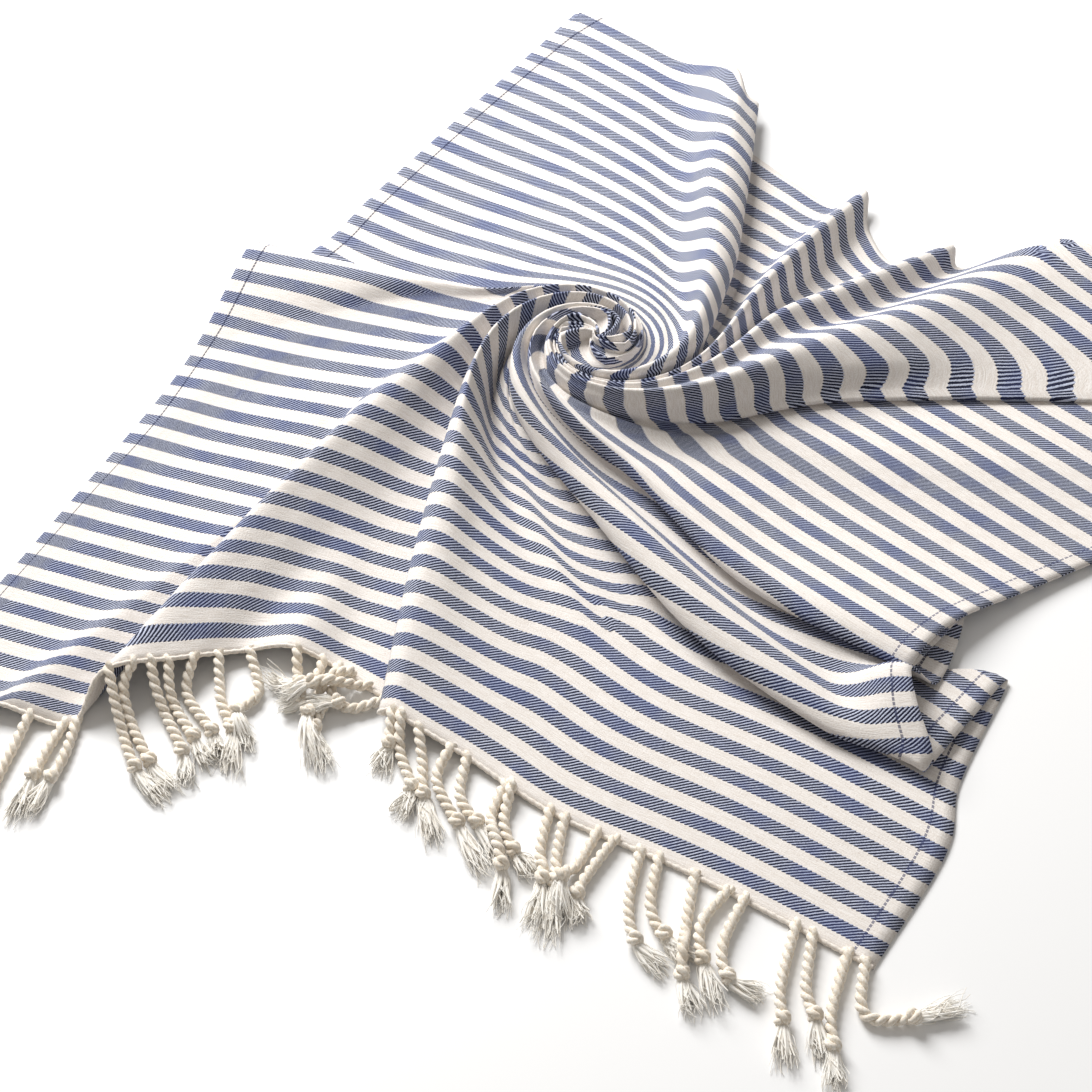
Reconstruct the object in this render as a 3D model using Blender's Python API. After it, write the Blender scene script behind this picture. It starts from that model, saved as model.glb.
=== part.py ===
"""Flat-woven beach towel, laid down, pinched near its middle and twisted into a swirl.

The cloth is one sheet. Fold lines run out from the swirl to the edge of the cloth, and the
sheet is lofted through them, clockwise seen from above. Its front end carries a fringe of
twisted cords, each with a knot and a short brush, fused to narrow header strips.

X runs along the stripes to the right, Y from the fringed end to the back, Z up.
The origin is under the swirl, on the surface that the towel lies on.
"""
import math
from collections import namedtuple

import bmesh
import bpy
import numpy as np
from mathutils import Vector

MM = 0.001

# ---------------------------------------------------------------- driving dimensions, mm
CLOTH_THICKNESS = 1.6
MOST_INSIDE = 3.0            # limit of the shift inside a turn, in half thicknesses
MOST_OUTSIDE = 1.3           # the same outside a turn
CORE_ROOM = 0.35             # limit of its sideways part in the swirl, in row distances
CLOTH_COLOUR = (0.55, 0.58, 0.72, 1.0)
FRINGE_COLOUR = (0.86, 0.80, 0.68, 1.0)
CLOTH_ROUGHNESS = 0.9

HEART_RADIUS = 25.0          # innermost height column of the fold table
SWIRL_RADIUS = 60.0          # edge of the tight swirl
RING_RADIUS = 120.0          # where the folds leave the swirl
PLUG_RADIUS = 52.0           # inside this the wound cloth is solid down to the surface
CORE_RADII = (13, 25, 28, 31.5, 36, 42, 50, 61, 75, 95, 120)
OUTER_STEPS = (0.08, 0.17, 0.27, 0.38, 0.50, 0.62, 0.73, 0.83, 0.92, 1.0)
TOTAL_WIND_DEG = 217.0       # how far every fold winds between the ring and the heart
HEART_WIND_DEG = 40.0        # further winding inside the heart, for each e-fold of radius

LIP_BACK = 9.0               # a lip's top lies this far back from its nose
LIP_BACK_RING = 4.0          # the same at the ring
LIP_GAP = 3.0                # the lower layer starts this far in front of the nose
LIP_TIGHT = 0.035            # the same inside the swirl, for each mm of radius
LIP_TURN = 2.8               # height of the hidden turn above the layer below
LIP_UNDER = 6.0              # height of a lip's underside above the layer below
NOSE_SHARE = 0.62            # the nose's height, as a share of the drop to the layer below
UNDER_SHARE = 0.28           # the same for the underside
TURN_SHARE = 0.12            # the same for the hidden turn
UNDER_BACK = 0.55            # the underside lies this share of the way to the hidden turn
HEART_STEP = 4.0             # the lower layer is this much lower at the heart

OUTWARD_SIGN = 1.0           # the hem is walked clockwise, so its left side faces out
STRIP_GAP = 0.5              # clear space between the hem and the header strip
STRIP_DEPTH = 3.0
STRIP_HEIGHT = 4.0
ROOT_WIDTH = 5.0             # width of a cord where it leaves the strip

CORD_LONG = 3.5              # half width of a cord's section along its two plies
CORD_SHORT = 2.4             # half width across them
CORD_STEP = 4.8              # between sections of a twisted cord
CORD_END = 4.0               # the twisted part ends this far in front of the knot
TWIST_DEG = 72.0             # turn of the section in each step
DROP_RUN = 30.0              # a cord reaches the surface this far from the hem
# Sections of the knot: distance past its start, half widths, turn past the cord's in degrees
KNOT_SECTIONS = ((-1.0, 5.2, 4.16, 30), (3.5, 5.2, 4.16, 60), (6.5, 2.8, 2.4, 90))
# Sections of the brush: share of the way from the knot to the tip, half widths
BRUSH_SECTIONS = ((0.55, 4.48, 2.6), (0.92, 5.6, 2.6), (1.0, 3.36, 1.3))

# ---------------------------------------------------------------- fold lines, clockwise
# ring_deg: where the line crosses the ring; lean: how fast it starts to wind there, in
# degrees; then a point half way out, the point on the cloth's edge, and the height of the
# sheet at the heart, at the swirl's edge, at the ring, half way out and at the edge.
# between: further rows that are spread evenly up to the next line.
Fold = namedtuple("Fold", "name ring_deg lean mid_x mid_y rim_x rim_y "
                          "z_heart z_swirl z_ring z_mid z_rim between")
FOLDS = (
    Fold("ridge",      -139, 50,  -98, -228,  -88, -405, 43, 43, 33, 26, 23, 0),
    Fold("ridge_foot", -147, 46, -128, -235,  -92, -450, 41, 30, 25,  9,  8, 1),
    Fold("a_front",    -154, 42, -158, -245, -131, -489, 40, 29, 22,  5,  2, 1),
    Fold("a_corner",   -161, 36, -185, -235, -203, -485, 40, 29, 21,  4,  1, 2),
    Fold("a_side",     -168, 30, -210, -170, -228, -314, 40, 30, 22,  6,  1, 2),
    Fold("a_top",      -174, 22, -208,  -95, -252, -165, 40, 31, 24, 13,  4, 1),
    Fold("a_lip",      -180, 15, -192,  -19, -287,  -40, 41, 32, 29, 27, 20, 0),
    Fold("i_start",     166, 15, -185,   45, -258,   60, 38, 22, 12,  2,  1, 2),
    Fold("i_corner",    124, 18, -172,  232, -265,  370, 38, 24, 14,  3,  1, 2),
    Fold("i_back",      107, 24, -120,  240, -200,  363, 38, 24, 15,  4,  2, 1),
    Fold("i_valley",     93, 30,  -72,  235, -152,  357, 38, 26, 12,  5,  4, 1),
    Fold("i_crest",      80, 38,  -36,  215,  -96,  349, 42, 40, 36, 29, 24, 0),
    Fold("i_lip",        69, 45,    2,  205,  -62,  330, 42, 38, 32, 27, 20, 0),
    Fold("j_back",       66, 48,   26,  200,   10,  272, 38, 26,  8,  2,  1, 0),
    Fold("h1_left",      62, 50,   44,  190,   50,  266, 38, 27, 12,  3,  1, 0),
    Fold("h1_crest",     56, 50,   63,  192,   66,  283, 42, 36, 30, 25, 14, 0),
    Fold("h1_right",     51, 50,   80,  180,   84,  258, 38, 30, 14,  3,  1, 0),
    Fold("h2_left",      48, 50,   98,  170,  122,  233, 38, 31, 18,  4,  1, 0),
    Fold("h2_crest",     42, 54,  116,  162,  155,  262, 42, 40, 34, 29, 16, 0),
    Fold("h2_low",       35, 58,  134,  152,  165,  252, 40, 37, 27, 16,  6, 0),
    Fold("g_crest",      22, 60,  172,  168,  222,  312, 43, 43, 41, 39, 22, 0),
    Fold("g_face",       14, 60,  222,  160,  310,  318, 42, 40, 32, 24, 16, 1),
    Fold("g_brink",       8, 60,  252,  142,  428,  262, 42, 38, 22, 10,  6, 0),
    Fold("g_foot",        3, 58,  258,  130,  452,  220, 38, 30,  6,  4,  4, 1),
    Fold("f_corner",     -5, 54,  264,  100,  474,  204, 38, 30,  7,  4,  3, 2),
    Fold("f_valley",    -19, 48,  224,  -18,  362,  -10, 38, 30, 12,  5,  7, 2),
    Fold("f_rise",      -37, 40,  212,  -92,  336,  -75, 40, 38, 22, 15, 17, 1),
    Fold("f_lip",       -46, 38,  205, -124,  332, -126, 42, 41, 27, 21, 20, 0),
    Fold("e_valley",    -52, 46,  218, -142,  364, -160, 38, 34, 13,  9,  9, 0),
    Fold("e_crest",     -61, 54,  228, -168,  380, -185, 42, 41, 29, 19, 14, 0),
    Fold("e_lip",       -69, 60,  216, -180,  390, -200, 42, 40, 27, 19, 11, 0),
    Fold("d_side",      -75, 60,  228, -205,  416, -220, 38, 24,  7,  2,  1, 1),
    Fold("d_corner",    -79, 60,  212, -232,  422, -326, 38, 22,  6,  2,  1, 2),
    Fold("d_hem",       -83, 60,  160, -232,  300, -332, 38, 18,  5,  2,  1, 1),
    Fold("v_valley",    -88, 60,   86, -195,  197, -344, 36, 13,  5,  2,  1, 0),
    Fold("c_slope",     -97, 60,   50, -208,  130, -341, 40, 30, 22,  9,  5, 0),
    Fold("c_crest",    -107, 60,   24, -216,   88, -343, 43, 43, 36, 27, 16, 0),
    Fold("c_lip",      -112.5, 60,    6, -226,   68, -347, 43, 42, 34, 27, 17, 0),
    Fold("b_valley",   -118.5, 58,  -25, -226,   20, -329, 38, 28, 10,  2,  1, 0),
    Fold("b_bump",     -124, 56,  -42, -228,  -12, -336, 39, 32, 15,  5, 13, 0),
    Fold("b_dip",      -128, 54,  -60, -228,  -40, -358, 40, 36, 21, 11,  2, 0),
    Fold("b_slope",    -133, 52,  -80, -229,  -64, -384, 42, 40, 29, 20, 14, 0),
)

# Where a fold laps over the layer beside it: how far its hidden turn lies back under it at
# the ring and half way out, where that turn and the lower layer reach the cloth's edge, and
# the height of the lower layer at the swirl's edge, the ring, half way out and the edge.
Lap = namedtuple("Lap", "ring_tuck mid_tuck turn_x turn_y low_x low_y "
                        "low_swirl low_ring low_mid low_rim")
LAPS = {
    "a_lip": Lap(8, 12, -268,  -75, -254,    4, 22, 10, 1, 1),
    "i_lip": Lap(8, 14,  -85,  292,  -38,  284, 24,  6, 1, 1),
    "f_lip": Lap(7, 12,  338,  -60,  350, -120, 30, 11, 8, 9),
    "e_lip": Lap(7, 14,  385,  -85,  400, -180, 22,  6, 1, 1),
    "c_lip": Lap(8, 14,   96, -330,   50, -331, 26,  8, 1, 1),
}
LAP_ROWS = ("top", "nose", "under", "turn", "low")

# ---------------------------------------------------------------- fringe
# Runs of the hem that carry a header strip, from one row of the cloth to another, clockwise.
Run = namedtuple("Run", "name first last")
RUNS = (
    Run("fringe_right", "d_corner", "c_lip_nose"),
    Run("fringe_middle", "c_lip_low", "b_slope"),
    Run("fringe_left", "ridge", "a_corner"),
)

# Each cord lies from its root on the hem through a bend to its knot, and ends at its tip.
Cord = namedtuple("Cord", "run root_x root_y bend_x bend_y knot_x knot_y tip_x tip_y")
CORDS = (
    Cord("fringe_right", 412, -330, 434, -360, 462, -340, 474, -314),
    Cord("fringe_right", 400, -330, 414, -365, 428, -386, 442, -408),
    Cord("fringe_right", 378, -330, 392, -358, 404, -375, 421, -398),
    Cord("fringe_right", 367, -330, 379, -368, 391, -390, 406, -412),
    Cord("fringe_right", 337, -330, 341, -358, 354, -376, 374, -385),
    Cord("fringe_right", 325, -330, 322, -362, 331, -384, 350, -404),
    Cord("fringe_right", 298, -330, 306, -364, 317, -394, 332, -416),
    Cord("fringe_right", 273, -330, 281, -366, 292, -387, 307, -404),
    Cord("fringe_right", 262, -330, 264, -370, 273, -394, 285, -415),
    Cord("fringe_right", 243, -330, 246, -368, 251, -388, 262, -408),
    Cord("fringe_right", 232, -330, 229, -366, 230, -388, 238, -412),
    Cord("fringe_right", 211, -330, 212, -370, 213, -394, 220, -422),
    Cord("fringe_right", 200, -330, 196, -372, 194, -394, 198, -420),
    Cord("fringe_right", 175, -330, 177, -366, 178, -388, 183, -410),
    Cord("fringe_right", 164, -330, 160, -368, 158, -390, 161, -418),
    Cord("fringe_right", 137, -330, 140, -366, 141, -386, 146, -407),
    Cord("fringe_right", 125, -330, 122, -366, 123, -388, 128, -412),
    Cord("fringe_right", 104, -330, 105, -364, 106, -384, 110, -405),
    Cord("fringe_right",  92, -330,  88, -364,  87, -384,  90, -410),
    Cord("fringe_right",  80, -330,  75, -363,  73, -380,  73, -400),
    Cord("fringe_middle",  42, -331,  43, -350,  46, -368,  51, -388),
    Cord("fringe_middle",  24, -331,  25, -352,  28, -373,  33, -395),
    Cord("fringe_middle",   6, -333,   8, -356,  10, -379,  15, -402),
    Cord("fringe_middle", -10, -338,  -8, -364,  -6, -386,  -2, -410),
    Cord("fringe_middle", -26, -348, -23, -376, -21, -398, -17, -422),
    Cord("fringe_middle", -40, -358, -37, -388, -34, -410, -29, -434),
    Cord("fringe_middle", -56, -376, -51, -402, -47, -424, -40, -447),
    Cord("fringe_left",  -90, -418, -66, -434, -44, -452, -22, -468),
    Cord("fringe_left",  -91, -438, -72, -459, -54, -477, -34, -492),
    Cord("fringe_left",  -94, -455, -80, -480, -72, -502, -62, -526),
    Cord("fringe_left", -108, -468, -98, -497, -92, -519, -84, -545),
    Cord("fringe_left", -122, -481, -118, -508, -114, -532, -108, -562),
    Cord("fringe_left", -150, -488, -149, -514, -146, -538, -140, -564),
    Cord("fringe_left", -170, -488, -170, -514, -169, -538, -166, -566),
    Cord("fringe_left", -194, -488, -195, -512, -195, -536, -194, -562),
)


# ---------------------------------------------------------------- small helpers
def smooth(low, high, value):
    """Ease from 0 at low to 1 at high."""
    f = min(max((value - low) / (high - low), 0.0), 1.0)
    return f * f * (3.0 - 2.0 * f)


def hermite(a, b, slope_a, slope_b, f):
    """Cubic from a to b with the given end slopes, f from 0 to 1."""
    return ((2 * f ** 3 - 3 * f ** 2 + 1) * a + (f ** 3 - 2 * f ** 2 + f) * slope_a
            + (3 * f ** 2 - 2 * f ** 3) * b + (f ** 3 - f ** 2) * slope_b)


def gentle_slopes(xs, ys):
    """Slopes of a cubic through the points that never overshoots them."""
    runs = [b - a for a, b in zip(xs, xs[1:])]
    rises = [(b - a) / run for a, b, run in zip(ys, ys[1:], runs)]
    slopes = [rises[0]] + [0.0] * (len(xs) - 2) + [rises[-1]]
    for i in range(1, len(xs) - 1):
        if rises[i - 1] * rises[i] > 0.0:
            near, far = 2 * runs[i] + runs[i - 1], runs[i] + 2 * runs[i - 1]
            slopes[i] = (near + far) / (near / rises[i - 1] + far / rises[i])
    return slopes


def curve_value(xs, ys, x):
    """Value at x of the smooth curve through (xs, ys)."""
    slopes = gentle_slopes(xs, ys)
    i = max([j for j in range(len(xs) - 1) if xs[j] <= x], default=0)
    run = xs[i + 1] - xs[i]
    f = min(max((x - xs[i]) / run, 0.0), 1.0)
    return hermite(ys[i], ys[i + 1], run * slopes[i], run * slopes[i + 1], f)


def unit(vector):
    return vector / np.linalg.norm(vector)


# ---------------------------------------------------------------- the folded sheet
def wind(radius, lean):
    """Degrees by which a fold has wound round the swirl at this radius."""
    turns = math.log(RING_RADIUS / max(radius, HEART_RADIUS))
    full = math.log(RING_RADIUS / HEART_RADIUS)
    tighten = (TOTAL_WIND_DEG - lean * full) / full ** 2
    within = math.log(HEART_RADIUS / min(radius, HEART_RADIUS))
    return -(lean * turns + tighten * turns * turns + HEART_WIND_DEG * within)


def on_spiral(radius, fold):
    angle = math.radians(fold.ring_deg + wind(radius, fold.lean))
    return np.array([radius * math.cos(angle), radius * math.sin(angle)])


def out_from_ring(fold, f):
    """Plan point on a fold line, from the ring (f = 0) to the cloth's edge (f = 1)."""
    angle = math.radians(fold.ring_deg)
    outward = np.array([math.cos(angle), math.sin(angle)])
    around = np.array([-math.sin(angle), math.cos(angle)])
    ring = RING_RADIUS * outward
    mid = np.array([fold.mid_x, fold.mid_y], float)
    rim = np.array([fold.rim_x, fold.rim_y], float)
    start = (outward + math.radians(fold.lean) * around) * np.linalg.norm(mid - ring)
    if f < 0.5:
        return hermite(ring, mid, start, (rim - ring) / 2, 2 * f)
    return hermite(mid, rim, (rim - ring) / 2, rim - mid, 2 * f - 1)


def stations():
    """Stations along a fold line: (distance for heights, plan point of a fold)."""
    full = math.log(RING_RADIUS / HEART_RADIUS)
    result = []
    for radius in CORE_RADII:
        along = 1.0 - math.log(RING_RADIUS / radius) / full
        result.append((along, radius, lambda fold, r=radius: on_spiral(r, fold)))
    for step in OUTER_STEPS:
        result.append((1.0 + step, None, lambda fold, f=step: out_from_ring(fold, f)))
    return result


def height_at(along, heights):
    swirl = 1.0 - math.log(RING_RADIUS / SWIRL_RADIUS) / math.log(RING_RADIUS / HEART_RADIUS)
    return curve_value((0.0, swirl, 1.0, 1.5, 2.0), heights, max(along, 0.0))


def fold_row(fold):
    """The row of points of one fold line, in mm."""
    heights = (fold.z_heart, fold.z_swirl, fold.z_ring, fold.z_mid, fold.z_rim)
    return np.array([(*place(fold), height_at(along, heights))
                     for along, _radius, place in stations()])


def lap_rows(fold, lap):
    """The five rows of a fold that laps over its neighbour: top, nose, under, turn, low."""
    line = fold_row(fold)
    low_heights = (fold.z_heart - HEART_STEP, lap.low_swirl, lap.low_ring, lap.low_mid, lap.low_rim)
    turn_end = np.array([lap.turn_x, lap.turn_y], float)
    low_end = np.array([lap.low_x, lap.low_y], float)
    rows = {name: [] for name in LAP_ROWS}
    for k, (along, radius, _place) in enumerate(stations()):
        nose, top = line[k][:2], line[k][2]
        lapping = 1.0 if radius is None else smooth(SWIRL_RADIUS, RING_RADIUS, radius)
        ahead = line[min(k + 1, len(line) - 1)][:2] - line[max(k - 1, 0)][:2]
        around = unit(np.array([-nose[1], nose[0]]))
        back = unit(around + lapping * (unit(np.array([-ahead[1], ahead[0]])) - around))
        low = height_at(along, low_heights)
        drop = top - low
        tight = LIP_TIGHT * np.hypot(*nose)
        tuck = lap.ring_tuck + (lap.mid_tuck - lap.ring_tuck) * smooth(1.0, 1.5, along)
        gap = tight + (LIP_GAP - tight) * lapping
        ease = smooth(1.5, 2.0, along)
        turn = nose + back * (tuck * lapping - gap * 0.66 * (1 - lapping))
        under = nose + back * (UNDER_BACK * tuck * lapping - gap * 0.33 * (1 - lapping))
        low_xy = nose - back * gap
        turn = turn + ease * (turn_end - (line[-1][:2] + back * tuck))
        under = under + ease * ((turn_end - line[-1][:2]) / 2 - UNDER_BACK * tuck * back)
        low_xy = low_xy + ease * (low_end - (line[-1][:2] - back * gap))
        behind = tight + lapping * (LIP_BACK_RING + (LIP_BACK - LIP_BACK_RING)
                                    * smooth(1.0, 1.5, along) - tight)
        rows["top"].append((*(nose + back * behind), top))
        rows["nose"].append((*nose, low + drop * NOSE_SHARE))
        rows["under"].append((*under, low + max(drop * UNDER_SHARE, min(LIP_UNDER, drop * 0.5))))
        rows["turn"].append((*turn, low + min(LIP_TURN, drop * TURN_SHARE)))
        rows["low"].append((*low_xy, low))
    return [(f"{fold.name}_{name}", np.array(rows[name])) for name in LAP_ROWS]


def key_rows():
    """All named rows in clockwise order, each with the count of rows to add after it."""
    rows = []
    for fold in FOLDS:
        named = lap_rows(fold, LAPS[fold.name]) if fold.name in LAPS else [(fold.name, fold_row(fold))]
        rows += [[name, row, 0] for name, row in named]
        rows[-1][2] = fold.between
    return rows


def spread_rows(rows):
    """Add the rows between the key rows: even in plan, with heights on a smooth curve."""
    count = len(rows)
    points = np.array([row for _name, row, _between in rows])
    result = []
    for i, (name, row, between) in enumerate(rows):
        result.append((name, row))
        if not between:
            continue
        window = points[[(i + j) % count for j in (-1, 0, 1, 2)]]
        for extra in range(1, between + 1):
            f = extra / (between + 1)
            new = []
            for k in range(window.shape[1]):
                a, b = window[1, k], window[2, k]
                steps = np.linalg.norm(np.diff(window[:, k, :2], axis=0), axis=1).cumsum()
                xs = [0.0, *steps]
                z = curve_value(xs, list(window[:, k, 2]), xs[1] + f * (xs[2] - xs[1]))
                plan = a[:2] + f * (b[:2] - a[:2])
                if k < len(CORE_RADII):
                    mean = np.hypot(*a[:2]) + f * (np.hypot(*b[:2]) - np.hypot(*a[:2]))
                    plan = unit(plan) * mean
                new.append((*plan, z))
            result.append((f"{name}_{extra}", np.array(new)))
    return result


def shift_to_side(grid, side):
    """Move a closed grid half the thickness to one side, keeping that distance in the turns."""
    count, last = grid.shape[0], grid.shape[1] - 1
    moved = grid.copy()
    for i in range(count):
        for k in range(last + 1):
            here = grid[i, k]
            ends = [grid[(i + 1) % count, k], grid[i, min(k + 1, last)],
                    grid[i - 1, k], grid[i, max(k - 1, 0)]]
            arms = [end - here for end in ends]
            crosses = [np.cross(arms[n], arms[(n + 1) % 4]) for n in range(4)]
            normals = [unit(cross) for cross in crosses if np.linalg.norm(cross) > 0.01]
            mean = unit(sum(normals))
            square = sum(np.outer(n, n) for n in normals) + 0.02 * np.eye(3)
            total = sum(normals) + 0.02 * mean
            shift = np.linalg.solve(square, total)
            inside = side * sum(unit(arm) @ mean for arm in arms if np.linalg.norm(arm) > 0.01) > 0
            longest = MOST_INSIDE if inside else MOST_OUTSIDE
            size = np.linalg.norm(shift)
            shift = shift * min(size, longest) / size * CLOTH_THICKNESS / 2
            if k < len(CORE_RADII) - 1:
                room = CORE_ROOM * min(np.linalg.norm(arms[0][:2]), np.linalg.norm(arms[2][:2]))
                sideways = np.linalg.norm(shift[:2])
                shift[:2] *= min(sideways, room) / max(sideways, room, 0.001)
            moved[i, k] = here + side * shift
    return moved


def cloth_sides(grid):
    """Upper and lower side of the sheet, the lower one never below the surface."""
    half = CLOTH_THICKNESS / 2
    middle = grid.copy()
    middle[:, :, 2] = np.maximum(middle[:, :, 2], half)
    upper = shift_to_side(middle, 1)
    lower = shift_to_side(middle, -1)
    plug = sum(radius <= PLUG_RADIUS for radius in CORE_RADII)
    upper[:, :plug] = middle[:, :plug] + (0.0, 0.0, half)
    lower[:, :plug] = middle[:, :plug]
    lower[:, :plug, 2] = 0.0
    lower[:, :, 2] = np.maximum(lower[:, :, 2], 0.0)
    return middle, upper, lower


def make_cloth(rows):
    middle, upper, lower = cloth_sides(np.array([row for _name, row in rows]))
    bm = bmesh.new()
    top, bottom = ([[bm.verts.new(Vector(p) * MM) for p in row] for row in skin]
                   for skin in (upper, lower))
    count, last = len(top), len(top[0]) - 1
    heart_top = bm.verts.new(Vector((0.0, 0.0, upper[:, 0, 2].mean() + 1.0)) * MM)
    heart_bottom = bm.verts.new(Vector((0.0, 0.0, 0.0)))
    for i in range(count):
        j = (i + 1) % count
        for k in range(last):
            n = k + 1
            falling = np.linalg.norm(middle[i, k] - middle[j, n])
            rising = np.linalg.norm(middle[j, k] - middle[i, n])
            if falling < rising:
                halves = (((i, k), (j, k), (j, n)), ((i, k), (j, n), (i, n)))
            else:
                halves = (((i, k), (j, k), (i, n)), ((j, k), (j, n), (i, n)))
            for half in halves:
                bm.faces.new([top[r][c] for r, c in half])
                bm.faces.new([bottom[r][c] for r, c in reversed(half)])
        bm.faces.new((top[i][0], heart_top, top[j][0]))
        bm.faces.new((bottom[j][0], heart_bottom, bottom[i][0]))
        bm.faces.new((top[j][last], bottom[j][last], bottom[i][last], top[i][last]))
    bmesh.ops.recalc_face_normals(bm, faces=bm.faces)
    return finish("towel_cloth", bm, CLOTH_COLOUR)


# ---------------------------------------------------------------- the fringe
def hem_between(rows, first, last):
    """Points of the cloth's edge from one row to another, clockwise."""
    names = [name for name, _row in rows]
    start, stop = names.index(first), names.index(last)
    if stop < start:
        stop += len(rows)
    return np.array([rows[i % len(rows)][1][-1] for i in range(start, stop + 1)])


def along_line(line):
    return np.concatenate(([0.0], np.linalg.norm(np.diff(line, axis=0), axis=1).cumsum()))


def point_on(line, reach, s):
    return np.array([np.interp(s, reach, line[:, axis]) for axis in range(3)])


def nearest_on(line, reach, x, y):
    samples = np.linspace(0.0, reach[-1], 400)
    gaps = [np.hypot(*(point_on(line, reach, s)[:2] - (x, y))) for s in samples]
    return samples[int(np.argmin(gaps))]


def strip_marks(line, reach, cords):
    """Where the strip is divided: at the hem's own points and on both sides of each root."""
    roots = sorted((nearest_on(line, reach, c.root_x, c.root_y), c) for c in cords)
    half = ROOT_WIDTH / 2
    marks = []
    for s, cord in roots:
        s = min(max(s, half + 1.0), reach[-1] - half - 1.0)
        marks.append((s - half, cord))
        marks.append((s + half, None))
    spans = [(marks[i][0], marks[i + 1][0]) for i in range(0, len(marks), 2)]
    for s in reach:
        if all(s < a - 1.5 or s > b + 1.5 for a, b in spans):
            marks.append((s, None))
    return sorted(marks, key=lambda mark: mark[0])


def make_strip(bm, line, reach, marks):
    """The header strip as a sweep; returns the outer face of each cord's root."""
    rings = []
    for s, _cord in marks:
        here = point_on(line, reach, s)
        ahead = point_on(line, reach, min(s + 4, reach[-1])) - point_on(line, reach, max(s - 4, 0))
        outward = unit(np.array([-ahead[1], ahead[0]])) * OUTWARD_SIGN
        near = here[:2] + outward * STRIP_GAP
        far = near + outward * STRIP_DEPTH
        floor = max(here[2] - STRIP_HEIGHT / 2, 0.0)
        corners = ((*near, floor), (*far, floor), (*far, floor + STRIP_HEIGHT), (*near, floor + STRIP_HEIGHT))
        rings.append([bm.verts.new(Vector(c) * MM) for c in corners])
    roots = []
    for i, (a, b) in enumerate(zip(rings, rings[1:])):
        for k in range(4):
            n = (k + 1) % 4
            face = bm.faces.new((a[k], b[k], b[n], a[n]))
            if k == 1 and marks[i][1] is not None:
                roots.append((face, marks[i][1]))
    bm.faces.new(rings[0])
    bm.faces.new(tuple(reversed(rings[-1])))
    bmesh.ops.recalc_face_normals(bm, faces=bm.faces)
    return roots


def cord_path(cord, root):
    """Points of a cord's middle line from its root to its tip, and its length to the knot."""
    plan = [np.array(p, float) for p in (root[:2], (cord.bend_x, cord.bend_y),
                                         (cord.knot_x, cord.knot_y), (cord.tip_x, cord.tip_y))]
    plan = [2 * plan[0] - plan[1]] + plan + [2 * plan[-1] - plan[-2]]
    fine = []
    for i in range(1, 4):
        for f in np.linspace(0, 1, 12, endpoint=(i == 3)):
            fine.append(hermite(plan[i], plan[i + 1], (plan[i + 1] - plan[i - 1]) / 2,
                                (plan[i + 2] - plan[i]) / 2, f))
    fine = np.array(fine)
    reach = along_line(fine)
    return fine, reach, reach[24]


def cord_sections(cord, root):
    """Sections along a cord: distance, half widths and turn."""
    _fine, reach, knot = cord_path(cord, root)
    twisted = knot - CORD_END
    count = max(int(round(twisted / CORD_STEP)), 4)
    sections = [((i + 1) * twisted / count, CORD_LONG, CORD_SHORT, (i + 1) * TWIST_DEG)
                for i in range(count)]
    turn = sections[-1][3]
    rest = reach[-1] - knot
    sections += [(knot + past, wide, flat, turn + more) for past, wide, flat, more in KNOT_SECTIONS]
    sections += [(knot + share * rest, wide, flat, None) for share, wide, flat in BRUSH_SECTIONS]
    return sections


def grow_cord(bm, face, cord):
    """Extrude a root face into a twisted cord with its knot and brush."""
    centre = np.array(face.calc_center_median()) / MM
    fine, reach, _knot = cord_path(cord, centre)
    settled = 0.0
    start = None
    for distance, wide, flat, turn in cord_sections(cord, centre):
        x = np.interp(distance, reach, fine[:, 0])
        y = np.interp(distance, reach, fine[:, 1])
        ahead = np.array([np.interp(distance + 2, reach, fine[:, a])
                          - np.interp(distance - 2, reach, fine[:, a]) for a in (0, 1)])
        ahead = unit(ahead)
        side = np.array([ahead[1], -ahead[0], 0.0])
        drop = smooth(0.0, DROP_RUN, distance)
        lowest = max(wide, flat) if turn is not None else flat
        z = centre[2] + (lowest - centre[2]) * drop
        z = max(z, lowest)
        if turn is None:
            turn = settled
        angle = math.radians(turn)
        settled = 180.0 * round(turn / 180.0)
        up = np.array([0.0, 0.0, 1.0])
        long_axis = math.cos(angle) * side + math.sin(angle) * up
        short_axis = -math.sin(angle) * side + math.cos(angle) * up
        middle = np.array([x, y, z])
        corners = (middle - wide * long_axis, middle - flat * short_axis,
                   middle + wide * long_axis, middle + flat * short_axis)
        face = bmesh.ops.extrude_discrete_faces(bm, faces=[face])["faces"][0]
        if start is None:
            start = ring_start(face, side, centre)
        first, step = start
        for k, corner in enumerate(corners):
            face.loops[(first + step * k) % 4].vert.co = Vector(corner) * MM


def ring_start(face, side, centre):
    """The vertex of a root face that is low and on the minus side, and which way round to go."""
    spots = [np.array(loop.vert.co) / MM - centre for loop in face.loops]
    first = int(np.argmin([spot @ side + 0.5 * spot[2] for spot in spots]))
    low = min(((first + 1) % 4, (first - 1) % 4), key=lambda i: spots[i][2])
    return first, 1 if low == (first + 1) % 4 else -1


def make_fringe(run, rows):
    line = hem_between(rows, run.first, run.last)
    reach = along_line(line)
    cords = [cord for cord in CORDS if cord.run == run.name]
    bm = bmesh.new()
    roots = make_strip(bm, line, reach, strip_marks(line, reach, cords))
    for face, cord in roots:
        grow_cord(bm, face, cord)
    bmesh.ops.recalc_face_normals(bm, faces=bm.faces)
    return finish(run.name, bm, FRINGE_COLOUR)


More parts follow.
